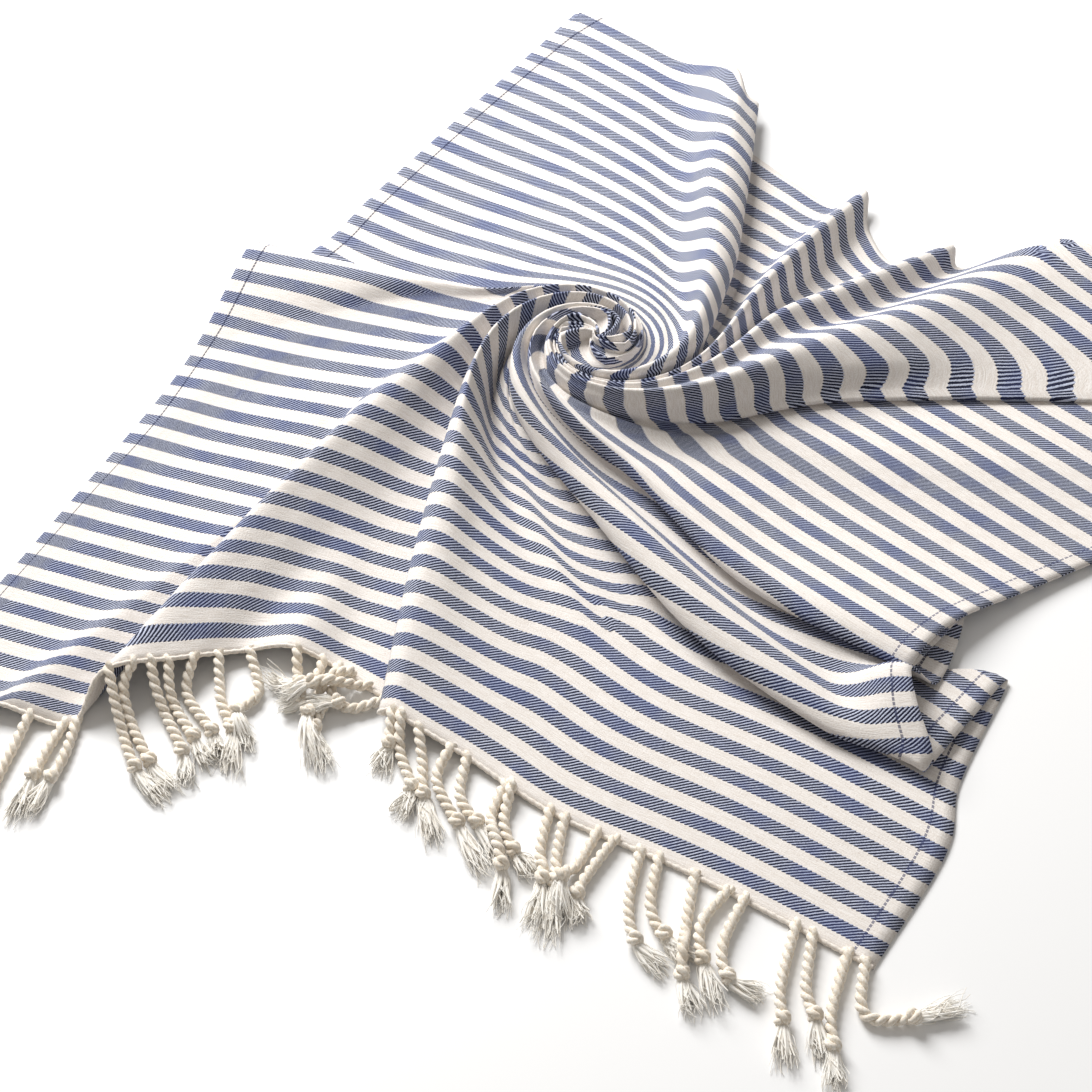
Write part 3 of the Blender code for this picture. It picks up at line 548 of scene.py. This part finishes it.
def make_cloth():
    named = key_rows()
    names = [name for name, _row in named]
    points = np.array([row for _name, row in named])
    rows, starts = spread(names, points)
    rim = flat_rim(names, points)
    count, length = rows.shape[:2]
    before, after = np.zeros((count, length, 2)), np.zeros((count, length, 2))
    for panel in PANELS:
        places, flat = flat_panel(panel, names, points, rim, rows, starts)
        before[places[:-1]] = flat[:-1]
        after[places[:-1]] = flat[1:]
    rows[:, :, 2] = np.maximum(rows[:, :, 2], CLOTH_THICKNESS / 2 + OFF_FLOOR)
    bm = bmesh.new()
    bmesh.ops.create_grid(bm, x_segments=count, y_segments=length - 1, size=1.0)
    uv = bm.loops.layers.uv.new("flat")
    bm.verts.ensure_lookup_table()
    closed = np.concatenate([rows, rows[:1]])
    place = {}
    for vert in bm.verts:
        i = int(round((vert.co.x + 1.0) / 2.0 * count))
        k = int(round((vert.co.y + 1.0) / 2.0 * (length - 1)))
        place[vert.index] = (i, k)
    for face in bm.faces:
        row = min(place[loop.vert.index][0] for loop in face.loops)
        for loop in face.loops:
            i, k = place[loop.vert.index]
            loop[uv].uv = (before if i == row else after)[row, k] * MM
    for vert in bm.verts:
        i, k = place[vert.index]
        vert.co = Vector(closed[i, k]) * MM
    bmesh.ops.remove_doubles(bm, verts=bm.verts, dist=1e-6)
    heart = [e for e in bm.edges if e.is_boundary
             and all(v.co.xy.length < 0.006 for v in e.verts)]
    bmesh.ops.contextual_create(bm, geom=heart)
    bmesh.ops.recalc_face_normals(bm, faces=bm.faces)
    if sum(face.normal.z for face in bm.faces) < 0:
        bmesh.ops.reverse_faces(bm, faces=bm.faces)
    mesh = bpy.data.meshes.new("cloth")
    bm.to_mesh(mesh)
    bm.free()
    mesh.shade_smooth()
    cloth = bpy.data.objects.new("cloth", mesh)
    bpy.context.scene.collection.objects.link(cloth)
    thickness = cloth.modifiers.new("thickness", "SOLIDIFY")
    thickness.thickness = CLOTH_THICKNESS * MM
    thickness.offset = 0.0
    thickness.material_offset = 1
    hem = range(starts[names.index("d_corner")], len(rows) + starts[names.index("a_corner")] + 1)
    hem = [i % len(rows) for i in hem]
    return cloth, rows[hem, -1], rows[hem, -2]


HEM_ROLL = 1.6               # half the thickness of the rolled hem
HEM_INSIDE = 0.7             # how far its middle lies inside the cloth's edge, in half thicknesses
HEM_LIFT = 0.2
HEM_PUCKER = 0.22            # how far its stitches draw it in
HEM_STITCH = 6.0
HEM_STEP = 1.2
OFF_FLOOR = 0.1


def roll_hem(hem_line, inside_line, material):
    """The fringed end's rolled hem, drawn in by its stitches."""
    inward = inside_line - hem_line
    inward /= np.linalg.norm(inward, axis=1)[:, None]
    line = through(list(hem_line + HEM_ROLL * HEM_INSIDE * inward), HEM_STEP)
    line[:, 2] = np.maximum(line[:, 2] + HEM_LIFT, HEM_ROLL + HEM_PUCKER + OFF_FLOOR)
    along = run_along(line)
    roll = round_curve("rolled_hem", 2)
    add_strand(roll, line, HEM_ROLL + HEM_PUCKER * np.sin(2 * math.pi * along / HEM_STITCH))
    piece = mesh_piece("rolled_hem", roll, material)
    return piece


# ---------------------------------------------------------------- fringe, mm
CORD_RADIUS = 3.8            # of the whole two-strand cord
STRAND_RADIUS = 2.1
STRAND_OFFSET = 1.7
CORD_LAY = 13.5              # one full turn of the two strands
CORD_STEP = 0.9
CORD_CLEAR = 0.3             # between a cord and the floor
KNOT_RADIUS = 3.6
KNOT_WAVE = 0.38             # how far the knot's turn runs in and out, as a share of its radius
KNOT_LENGTH = 0.75           # the same along the cord
KNOT_STRAND = 2.1
KNOT_POINTS = 30
KNOT_LIFT = 1.9
WISPS = 20                   # the thick middle of a frayed end
WISP_RADIUS = 1.5
BRUSH_HAIRS = 36
BRUSH_POINTS = 9
BRUSH_SPREAD = 7.5
BRUSH_OPENING = 0.8          # power of the way along at which a frayed end opens out
BRUSH_FLAT = 0.6             # its height as a share of its width
LEAST_HAIR_HEIGHT = 0.7
ROOT_INSIDE = 3.0
CORD_FALL = 26.0             # the run in which a cord comes down from the hem to the floor
CORD_SINK = 0.8              # cords settle into each other by the rest of this share
LAY_SLOPE = 0.55             # how steeply a cord may climb over another

Cord = namedtuple("Cord", "run root bend knot tip")
CORDS = (
    Cord("left",   (-194, -488), (-195, -512), (-195, -536), (-194, -562)),
    Cord("left",   (-170, -488), (-170, -514), (-169, -538), (-166, -566)),
    Cord("left",   (-142, -488), (-141, -514), (-138, -538), (-130, -562)),
    Cord("left",   (-114, -483), (-108, -501), (-97, -531), (-86, -561)),
    Cord("left",   (-94, -472), (-89, -490), (-83, -508), (-73, -540)),
    Cord("left",   (-89, -462), (-79, -482), (-72, -503), (-68, -532)),
    Cord("left",   (-94, -405), (-73, -432), (-30, -458), (-3, -466)),
    Cord("left",   (-95, -423), (-68, -444), (-34, -467), (-4, -475)),
    Cord("middle", (-81, -396), (-58, -417), (-18, -440), (-1, -457)),
    Cord("middle", (-70, -390), (-51, -412), (-20, -427), (3, -437)),
    Cord("middle", (-56, -382), (-46, -403), (-13, -417), (1, -430)),
    Cord("middle", (-42, -370), (-25, -394), (-4, -408), (17, -435)),
    Cord("middle", (-28, -358), (-9, -375), (-9, -396), (14, -413)),
    Cord("middle", (-6, -336), (2, -348), (17, -364), (9, -376)),
    Cord("middle", (8, -330), (14, -344), (12, -358), (-14, -362)),
    Cord("middle", (19, -329), (30, -350), (39, -377), (63, -396)),
    Cord("middle", (29, -327), (24, -345), (30, -372), (56, -400)),
    Cord("middle", (45, -326), (33, -342), (20, -355), (8, -373)),
    Cord("middle", (60, -340), (50, -350), (40, -354), (24, -370)),
    Cord("right",  (78, -347), (82, -353), (86, -360), (92, -380)),
    Cord("right",  (83, -348), (96, -361), (118, -379), (124, -400)),
    Cord("right",  (98, -347), (113, -360), (128, -379), (154, -402)),
    Cord("right",  (120, -346), (128, -365), (158, -384), (193, -403)),
    Cord("right",  (132, -346), (147, -366), (168, -377), (193, -389)),
    Cord("right",  (163, -348), (174, -370), (200, -395), (216, -420)),
    Cord("right",  (171, -348), (181, -366), (199, -381), (219, -387)),
    Cord("right",  (200, -346), (212, -371), (226, -388), (239, -419)),
    Cord("right",  (210, -346), (222, -367), (233, -385), (253, -420)),
    Cord("right",  (233, -344), (237, -366), (236, -383), (253, -405)),
    Cord("right",  (243, -344), (246, -366), (249, -385), (262, -400)),
    Cord("right",  (264, -341), (277, -370), (296, -392), (322, -399)),
    Cord("right",  (275, -341), (290, -366), (308, -379), (330, -385)),
    Cord("right",  (300, -338), (315, -365), (332, -396), (352, -412)),
    Cord("right",  (323, -336), (322, -359), (336, -380), (361, -401)),
    Cord("right",  (335, -336), (340, -363), (355, -382), (378, -380)),
    Cord("right",  (369, -334), (383, -368), (396, -388), (412, -411)),
    Cord("right",  (379, -334), (396, -361), (410, -375), (427, -396)),
    Cord("right",  (402, -334), (416, -365), (429, -386), (443, -407)),
    Cord("right",  (414, -332), (433, -357), (458, -343), (476, -318)),
)


def through(points, step):
    """Points a step apart on a smooth curve through the given ones."""
    ends = [2 * points[0] - points[1]] + list(points) + [2 * points[-1] - points[-2]]
    line = []
    for a, b, c, d in zip(ends, ends[1:], ends[2:], ends[3:]):
        count = max(int(np.linalg.norm(c - b) / step), 2)
        line += [hermite(b, c, (c - a) / 2, (d - b) / 2, n / count) for n in range(count)]
    return np.array(line + [points[-1]])


def lay_over(plan, heights, radius, laid):
    """Lift a line just clear of what already lies under it."""
    for other, other_radius in laid:
        gap = np.linalg.norm(plan[:, None, :] - other[None, :, :2], axis=2)
        reach = radius + other_radius
        above = other[None, :, 2] + np.sqrt(np.maximum(reach ** 2 - gap ** 2, 0.0))
        above = np.where(gap < reach, above, 0.0)
        heights = np.maximum(heights, above.max(axis=1))
    along = run_along(plan)
    slope = LAY_SLOPE * np.abs(along[:, None] - along[None, :])
    return (heights[None, :] - slope).max(axis=1)


def across_line(line):
    """Unit vectors across a line: sideways and upwards from it."""
    ahead = np.gradient(line, axis=0)
    ahead /= np.linalg.norm(ahead, axis=1)[:, None]
    side = np.cross(ahead, np.array([0.0, 0.0, 1.0]))
    side /= np.linalg.norm(side, axis=1)[:, None]
    return side, np.cross(side, ahead)


def add_strand(curve, line, radii):
    spline = curve.splines.new("POLY")
    spline.points.add(len(line) - 1)
    for point, place, radius in zip(spline.points, line, radii):
        point.co = (*(place * MM), 1.0)
        point.radius = radius
    return spline


def twist_cord(curve, line, turn):
    """Two strands laid round each other along the line."""
    side, up = across_line(line)
    along = run_along(line)
    for strand in (0.0, math.pi):
        angle = turn + strand + 2 * math.pi * along / CORD_LAY
        offset = side * np.cos(angle)[:, None] + up * np.sin(angle)[:, None]
        add_strand(curve, line + STRAND_OFFSET * offset, np.full(len(line), STRAND_RADIUS))


def tie_knot(curve, place, ahead, turn):
    """An overhand knot drawn tight round the cord: one closed turn with three crossings."""
    side = unit(np.cross(ahead, np.array([0.0, 0.0, 1.0])))
    up = np.cross(side, ahead)
    t = np.linspace(0.0, 2 * math.pi, KNOT_POINTS, endpoint=False)
    out = KNOT_RADIUS * (1 - KNOT_WAVE + KNOT_WAVE * np.cos(3 * t))
    loop = (place + (out * np.cos(2 * t + turn))[:, None] * side
            + (out * np.sin(2 * t + turn))[:, None] * up
            + (KNOT_RADIUS * KNOT_LENGTH * np.sin(3 * t))[:, None] * ahead)
    add_strand(curve, loop, np.full(KNOT_POINTS, KNOT_STRAND)).use_cyclic_u = True


def part_way(line, part):
    """A point part of the way along a line, and the number of the line's point before it."""
    k = part * (len(line) - 1)
    low = min(int(k), len(line) - 2)
    return line[low] + (k - low) * (line[low + 1] - line[low]), low


def fray(curve, line, draw):
    """The loose end beyond a knot: soft thick wisps, and fine hairs that fan out and wander."""
    side, up = across_line(line)
    f = np.linspace(0.0, 1.0, BRUSH_POINTS)
    for wisp in range(WISPS):
        angle = 2 * math.pi * wisp / WISPS + draw.uniform(-0.4, 0.4)
        reach = draw.uniform(0.7, 1.0)
        spread = BRUSH_SPREAD * (0.75 if wisp % 2 else 0.35) * draw.uniform(0.8, 1.1)
        phase = draw.uniform(0.0, 2 * math.pi)
        body = []
        for part in f:
            base, low = part_way(line, part * reach)
            wide = (1.1 + spread * part ** BRUSH_OPENING
                    + 0.9 * part * math.sin(phase + 5.0 * part))
            place = (base + side[low] * wide * math.cos(angle + part * math.sin(phase))
                     + up[low] * wide * BRUSH_FLAT * math.sin(angle))
            body.append((place[0], place[1], max(place[2] - 1.2 * part, WISP_RADIUS)))
        add_strand(curve, np.array(body), WISP_RADIUS * (1.0 - 0.72 * f ** 1.5))
    for _hair in range(BRUSH_HAIRS):
        angle = draw.uniform(0.0, 2 * math.pi)
        reach = draw.uniform(0.7, 1.22)
        start = draw.uniform(0.5, 2.9)
        spread = BRUSH_SPREAD * draw.uniform(0.1, 1.0)
        wave, phase = draw.uniform(0.4, 2.2), draw.uniform(0.0, 2 * math.pi)
        curl, twist = draw.uniform(0.2, 1.3), draw.uniform(3.0, 8.0)
        hair = []
        for part in f:
            base, low = part_way(line, part * reach)
            wide = (start + spread * part ** BRUSH_OPENING
                    + wave * math.sin(phase + twist * part) * part)
            turn = angle + curl * math.sin(2.0 * phase + 4.0 * part)
            place = (base + side[low] * wide * math.cos(turn)
                     + up[low] * wide * BRUSH_FLAT * math.sin(turn))
            hair.append((place[0], place[1], max(place[2] - 1.5 * part, LEAST_HAIR_HEIGHT)))
        thick = draw.uniform(0.3, 0.5)
        add_strand(curve, np.array(hair), thick * (1.0 - 0.5 * f))


def mesh_piece(name, curve, material):
    """Turn a curve into a mesh piece of its own."""
    holder = bpy.data.objects.new(name + "_line", curve)
    bpy.context.scene.collection.objects.link(holder)
    bpy.context.view_layer.update()
    shape = holder.evaluated_get(bpy.context.evaluated_depsgraph_get())
    mesh = bpy.data.meshes.new_from_object(shape)
    bpy.data.objects.remove(holder)
    bpy.data.curves.remove(curve)
    mesh.name = name
    mesh.shade_smooth()
    mesh.materials.clear()
    mesh.materials.append(material)
    piece = bpy.data.objects.new(name, mesh)
    bpy.context.scene.collection.objects.link(piece)
    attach(piece, "root")
    return piece


def round_curve(name, sides):
    curve = bpy.data.curves.new(name, "CURVE")
    curve.dimensions = "3D"
    curve.bevel_depth = MM
    curve.bevel_resolution = sides
    curve.use_fill_caps = True
    return curve


def make_fringe(run, hem_line, material, brush_material, laid, draw):
    """All cords of one run of the fringe, each with its own knot and frayed end."""
    cords = round_curve(run, 2)
    hairs = round_curve(run + "_hairs", 0)
    for cord in CORDS:
        if cord.run != run:
            continue
        root = np.array(cord.root, float)
        nearest = hem_line[np.argmin(np.linalg.norm(hem_line[:, :2] - root, axis=1))]
        bend, knot, tip = (np.array(p, float) for p in (cord.bend, cord.knot, cord.tip))
        start = nearest[:2] + ROOT_INSIDE * unit(nearest[:2] - bend)
        plan = through([start, bend, knot, tip], CORD_STEP)
        along = run_along(plan)
        fall = np.array([1.0 - smooth(0.0, CORD_FALL, a) for a in along])
        drop = max(nearest[2], CORD_RADIUS) - CORD_RADIUS
        heights = CORD_RADIUS + CORD_CLEAR + drop * fall
        heights = lay_over(plan, heights, CORD_RADIUS, laid)
        heights[0] = max(nearest[2], CORD_RADIUS * CORD_SINK)
        line = np.column_stack([plan, heights])
        at = int(np.argmin(np.linalg.norm(plan - knot, axis=1)))
        turn = draw.uniform(0.0, 2 * math.pi)
        twist_cord(cords, line[:at + 1], turn)
        ahead = unit(line[min(at + 2, len(line) - 1)] - line[at - 2])
        tie_knot(cords, line[at] + np.array([0.0, 0.0, KNOT_LIFT]), ahead, turn)
        fray(hairs, line[at:], draw)
        laid.append((line[::3], CORD_RADIUS * CORD_SINK))
    piece = mesh_piece(run + "_cords", cords, material)
    ends = mesh_piece(run + "_frayed_ends", hairs, brush_material)
    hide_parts("fringe_" + run)
    return [piece, ends]


# ---------------------------------------------------------------- materials
STRIPE_PITCH = 0.0223        # metres, as the flat coordinates are
STRIPE_START = 0.0115
STRIPE_SHARE = 0.5
TWILL_PITCH = 0.00208        # across the twill lines, which climb steeply over a stripe
TWILL_ACROSS = 0.67
TWILL_ALONG = 0.743
TWILL_SAW = 0.0009           # how far the twill lines saw the stripes' edges
TWILL_DRIFT = 0.0012         # how far they wander
TWILL_RISE = -1.6            # depth of the lines in the bump
RIB_MEAN = 0.25
WEAVE_SIZE = (900.0, 1500.0)      # grains of the noise to a metre, across and along
THREAD_SIZE = (90.0, 1400.0)
WARP_SIZE = (1300.0, 110.0)
SLUB_SIZE = (420.0, 900.0)
CLOUD_SIZE, WANDER_SIZE, PATCH_SIZE = 22.0, 60.0, 45.0
SIDE_HEM = 0.0145
SIDE_HEM_STEP = 0.001
SIDE_STITCH = 0.0008         # half the width of a stitch
STITCH_PITCH = 0.0034
STITCH_SHARE = 0.8
STITCH_STRENGTH = 0.75


def nodes_of(material):
    material.use_nodes = True
    tree = material.node_tree
    return tree, tree.nodes["Principled BSDF"]


def link_value(tree, socket, value):
    if isinstance(value, (int, float)):
        socket.default_value = value
    else:
        tree.links.new(value, socket)


def math_node(tree, operation, *values):
    node = tree.nodes.new("ShaderNodeMath")
    node.operation = operation
    for socket, value in zip(node.inputs, values):
        link_value(tree, socket, value)
    return node.outputs[0]


def arithmetic(tree):
    """Plus, minus, times and divided by, for values in a material."""
    return (partial(math_node, tree, kind) for kind in ("ADD", "SUBTRACT", "MULTIPLY", "DIVIDE"))


def noise(tree, vector, scale, detail=2.0, roughness=0.5):
    node = tree.nodes.new("ShaderNodeTexNoise")
    node.inputs["Scale"].default_value = scale
    node.inputs["Detail"].default_value = detail
    node.inputs["Roughness"].default_value = roughness
    tree.links.new(vector, node.inputs["Vector"])
    return node.outputs[0]


def stretched(tree, vector, across, along):
    node = tree.nodes.new("ShaderNodeMapping")
    node.inputs["Scale"].default_value = (across, along, 1.0)
    tree.links.new(vector, node.inputs["Vector"])
    return node.outputs[0]


def ramp(tree, value, low, high, to_low=0.0, to_high=1.0):
    node = tree.nodes.new("ShaderNodeMapRange")
    node.interpolation_type = "SMOOTHSTEP"
    for socket, amount in zip(node.inputs, (value, low, high, to_low, to_high)):
        link_value(tree, socket, amount)
    return node.outputs[0]


def blend(tree, share, first, second):
    node = tree.nodes.new("ShaderNodeMix")
    node.data_type = "RGBA"
    link_value(tree, node.inputs[0], share)
    for socket, colour in ((node.inputs[6], first), (node.inputs[7], second)):
        if isinstance(colour, tuple):
            socket.default_value = (*colour, 1.0)
        else:
            tree.links.new(colour, socket)
    return node.outputs[2]


def add_bump(tree, shader, height, strength, distance):
    bump = tree.nodes.new("ShaderNodeBump")
    bump.inputs["Strength"].default_value = strength
    bump.inputs["Distance"].default_value = distance
    tree.links.new(height, bump.inputs["Height"])
    tree.links.new(bump.outputs[0], shader.inputs["Normal"])


CREAM_LIGHT = (0.89, 0.85, 0.815)
CREAM_DEEP = (0.71, 0.64, 0.575)
CREAM_SLUB = (0.42, 0.31, 0.22)
BLUE_LIGHT = (0.56, 0.60, 0.74)
# the deeper pale blue and the lighter navy below are the painted sheen's washed-out twill; the lighter
# navy is also the thread colour of the side hem's stitches and of the warp streaks
BLUE_PALE = (0.36, 0.41, 0.60)
NAVY = (0.006, 0.008, 0.03)
NAVY_THREAD_AND_WASHOUT = (0.017, 0.024, 0.085)
CORD_DEEP, CORD_LIGHT = (0.76, 0.66, 0.53), (0.95, 0.905, 0.83)
BRUSH_DEEP, BRUSH_LIGHT = (0.93, 0.88, 0.80), (0.985, 0.965, 0.92)
HEM_DEEP, HEM_LIGHT = (0.74, 0.66, 0.57), (0.90, 0.85, 0.79)


def cloth_material(name, lean):
    """Flat-woven cotton: cream, with stripes of navy twill. lean is -1 on the wrong side."""
    material = bpy.data.materials.new(name)
    tree, shader = nodes_of(material)
    uv = tree.nodes.new("ShaderNodeUVMap")
    uv.uv_map = "flat"
    parts = tree.nodes.new("ShaderNodeSeparateXYZ")
    tree.links.new(uv.outputs[0], parts.inputs[0])
    across, along = parts.outputs[0], parts.outputs[1]
    plus, minus, times, divided = arithmetic(tree)

    weave, threads, warp = (noise(tree, stretched(tree, uv.outputs[0], *size), 1.0)
                            for size in (WEAVE_SIZE, THREAD_SIZE, WARP_SIZE))
    clouds = noise(tree, uv.outputs[0], CLOUD_SIZE, 3.0)
    wander = noise(tree, uv.outputs[0], WANDER_SIZE)

    drift = times(minus(wander, 0.5), TWILL_DRIFT)
    line_at = minus(times(across, TWILL_ACROSS * lean), times(along, TWILL_ALONG))
    line_at = plus(line_at, drift)
    phase = math_node(tree, "FRACT", divided(line_at, TWILL_PITCH))
    rib = math_node(tree, "ABSOLUTE", minus(phase, 0.5))
    edge = times(minus(rib, RIB_MEAN), TWILL_SAW * 2)
    stripe_at = minus(plus(along, edge), STRIPE_START)
    stripe = math_node(tree, "FRACT", divided(stripe_at, STRIPE_PITCH))
    band = math_node(tree, "LESS_THAN", stripe, STRIPE_SHARE)

    specks = times(minus(weave, 0.5), 0.34)
    dark_line = ramp(tree, plus(rib, specks), 0.18, 0.23)
    # painted sheen: in cloud patches a few cm across, the twill is washed out, with lighter navy lines
    # and deeper pale blue, standing in for light on lit faces; the patches lie at random, not by how
    # light falls
    painted_washout = ramp(tree, clouds, 0.42, 0.68)
    navy = blend(tree, painted_washout, NAVY, NAVY_THREAD_AND_WASHOUT)
    pale = blend(tree, painted_washout, BLUE_LIGHT, BLUE_PALE)
    pale = blend(tree, ramp(tree, warp, 0.4, 0.75, 0.0, 0.22), pale, NAVY_THREAD_AND_WASHOUT)
    blue = blend(tree, dark_line, pale, navy)

    shade = ramp(tree, plus(weave, threads), 0.72, 1.25, 0.0, 0.8)
    cream = blend(tree, shade, CREAM_LIGHT, CREAM_DEEP)
    slub = noise(tree, stretched(tree, uv.outputs[0], *SLUB_SIZE), 1.0, 1.0)
    cream = blend(tree, ramp(tree, slub, 0.73, 0.8, 0.0, 0.7), cream, CREAM_SLUB)
    colour = blend(tree, band, cream, blue)

    side = math_node(tree, "MINIMUM", across, minus(CLOTH_WIDTH * MM, across))
    stitch = math_node(tree, "ABSOLUTE", minus(side, SIDE_HEM))
    stitch = math_node(tree, "LESS_THAN", stitch, SIDE_STITCH)
    dash = math_node(tree, "FRACT", divided(along, STITCH_PITCH))
    dash = math_node(tree, "LESS_THAN", dash, STITCH_SHARE)
    colour = blend(tree, times(times(stitch, dash), STITCH_STRENGTH), colour, NAVY_THREAD_AND_WASHOUT)
    tree.links.new(colour, shader.inputs["Base Color"])

    rise = times(times(rib, TWILL_RISE), band)
    for part, height in ((weave, 1.1), (threads, 0.7), (warp, 0.5), (clouds, 3.0)):
        rise = plus(rise, times(part, height))
    hem_step = ramp(tree, side, SIDE_HEM - SIDE_HEM_STEP, SIDE_HEM + SIDE_HEM_STEP, 2.0, 0.0)
    add_bump(tree, shader, plus(rise, hem_step), 0.6, 0.0005)
    shader.inputs["Roughness"].default_value = 0.92
    shader.inputs["Sheen Weight"].default_value = 0.12
    shader.inputs["Sheen Roughness"].default_value = 0.6
    shader.inputs["Specular IOR Level"].default_value = 0.2
    return material


def cord_material(name, deep, light, scale, fuzz):
    """Unbleached cotton yarn with fine tufts, placed by the object's own coordinates."""
    material = bpy.data.materials.new(name)
    tree, shader = nodes_of(material)
    place = tree.nodes.new("ShaderNodeTexCoord").outputs["Object"]
    tufts = noise(tree, place, scale, 4.0, 0.6)
    patches = noise(tree, place, PATCH_SIZE)
    colour = blend(tree, ramp(tree, tufts, 0.3, 0.68), deep, light)
    colour = blend(tree, ramp(tree, patches, 0.4, 0.75, 0.0, 0.45), colour, deep)
    tree.links.new(colour, shader.inputs["Base Color"])
    add_bump(tree, shader, tufts, fuzz, 0.0007)
    shader.inputs["Roughness"].default_value = 0.95
    shader.inputs["Sheen Weight"].default_value = 0.2
    shader.inputs["Specular IOR Level"].default_value = 0.2
    return material


# ---------------------------------------------------------------- build
draw = random.Random(7)
cloth, hem_line, inside_line = make_cloth()
cloth.data.materials.append(cloth_material("striped cotton", 1.0))
cloth.data.materials.append(cloth_material("striped cotton, wrong side", -1.0))
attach(cloth, "root")
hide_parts("towel_cloth")
cord_cotton = cord_material("cord cotton", CORD_DEEP, CORD_LIGHT, 700.0, 0.5)
brush_cotton = cord_material("frayed cotton", BRUSH_DEEP, BRUSH_LIGHT, 260.0, 0.15)
hem_cotton = cord_material("hem cotton", HEM_DEEP, HEM_LIGHT, 900.0, 0.6)
laid = []
fringe = [roll_hem(hem_line, inside_line, hem_cotton)]
for run in ("left", "middle", "right"):
    fringe += make_fringe(run, hem_line, cord_cotton, brush_cotton, laid, draw)

# ---------------------------------------------------------------- floor, light, camera
FLOOR_SIZE = 12.0
FLOOR_DROP = 0.0002
LAMP_PLACE = (-1.9, 0.9, 1.7)
CAMERA_PLACE = (0.694, -1.053, 1.211)
CAMERA_VIEW_DEG = 26.0
CAMERA_AZIMUTH_DEG = 35.0
CAMERA_DOWN_DEG = 48.0

bpy.ops.mesh.primitive_plane_add(size=FLOOR_SIZE, location=(0, 0, -FLOOR_DROP))
floor = bpy.context.object
floor.name = "floor"
floor_paint = bpy.data.materials.new("floor")
_tree, floor_shader = nodes_of(floor_paint)
floor_shader.inputs["Base Color"].default_value = (0.9, 0.9, 0.9, 1)
floor.data.materials.append(floor_paint)

world = bpy.data.worlds.new("studio")
bpy.context.scene.world = world
world.use_nodes = True
sky = world.node_tree.nodes["Background"]
sky.inputs[0].default_value = (1.0, 0.965, 0.92, 1)
sky.inputs[1].default_value = 0.34
lamp = bpy.data.lights.new("window", "AREA")
lamp.shape = "DISK"
lamp.size = 1.8
lamp.energy = 136
window = bpy.data.objects.new("window", lamp)
window.location = LAMP_PLACE
window.rotation_euler = (-Vector(window.location)).to_track_quat("-Z", "Y").to_euler()
bpy.context.scene.collection.objects.link(window)

camera_data = bpy.data.cameras.new("camera")
camera_data.angle = math.radians(CAMERA_VIEW_DEG)
camera = bpy.data.objects.new("camera", camera_data)
camera.location = CAMERA_PLACE
camera.rotation_euler = (math.radians(90.0 - CAMERA_DOWN_DEG), 0.0, math.radians(CAMERA_AZIMUTH_DEG))
bpy.context.scene.collection.objects.link(camera)
bpy.context.scene.camera = camera
bpy.context.scene.view_settings.view_transform = "Standard"
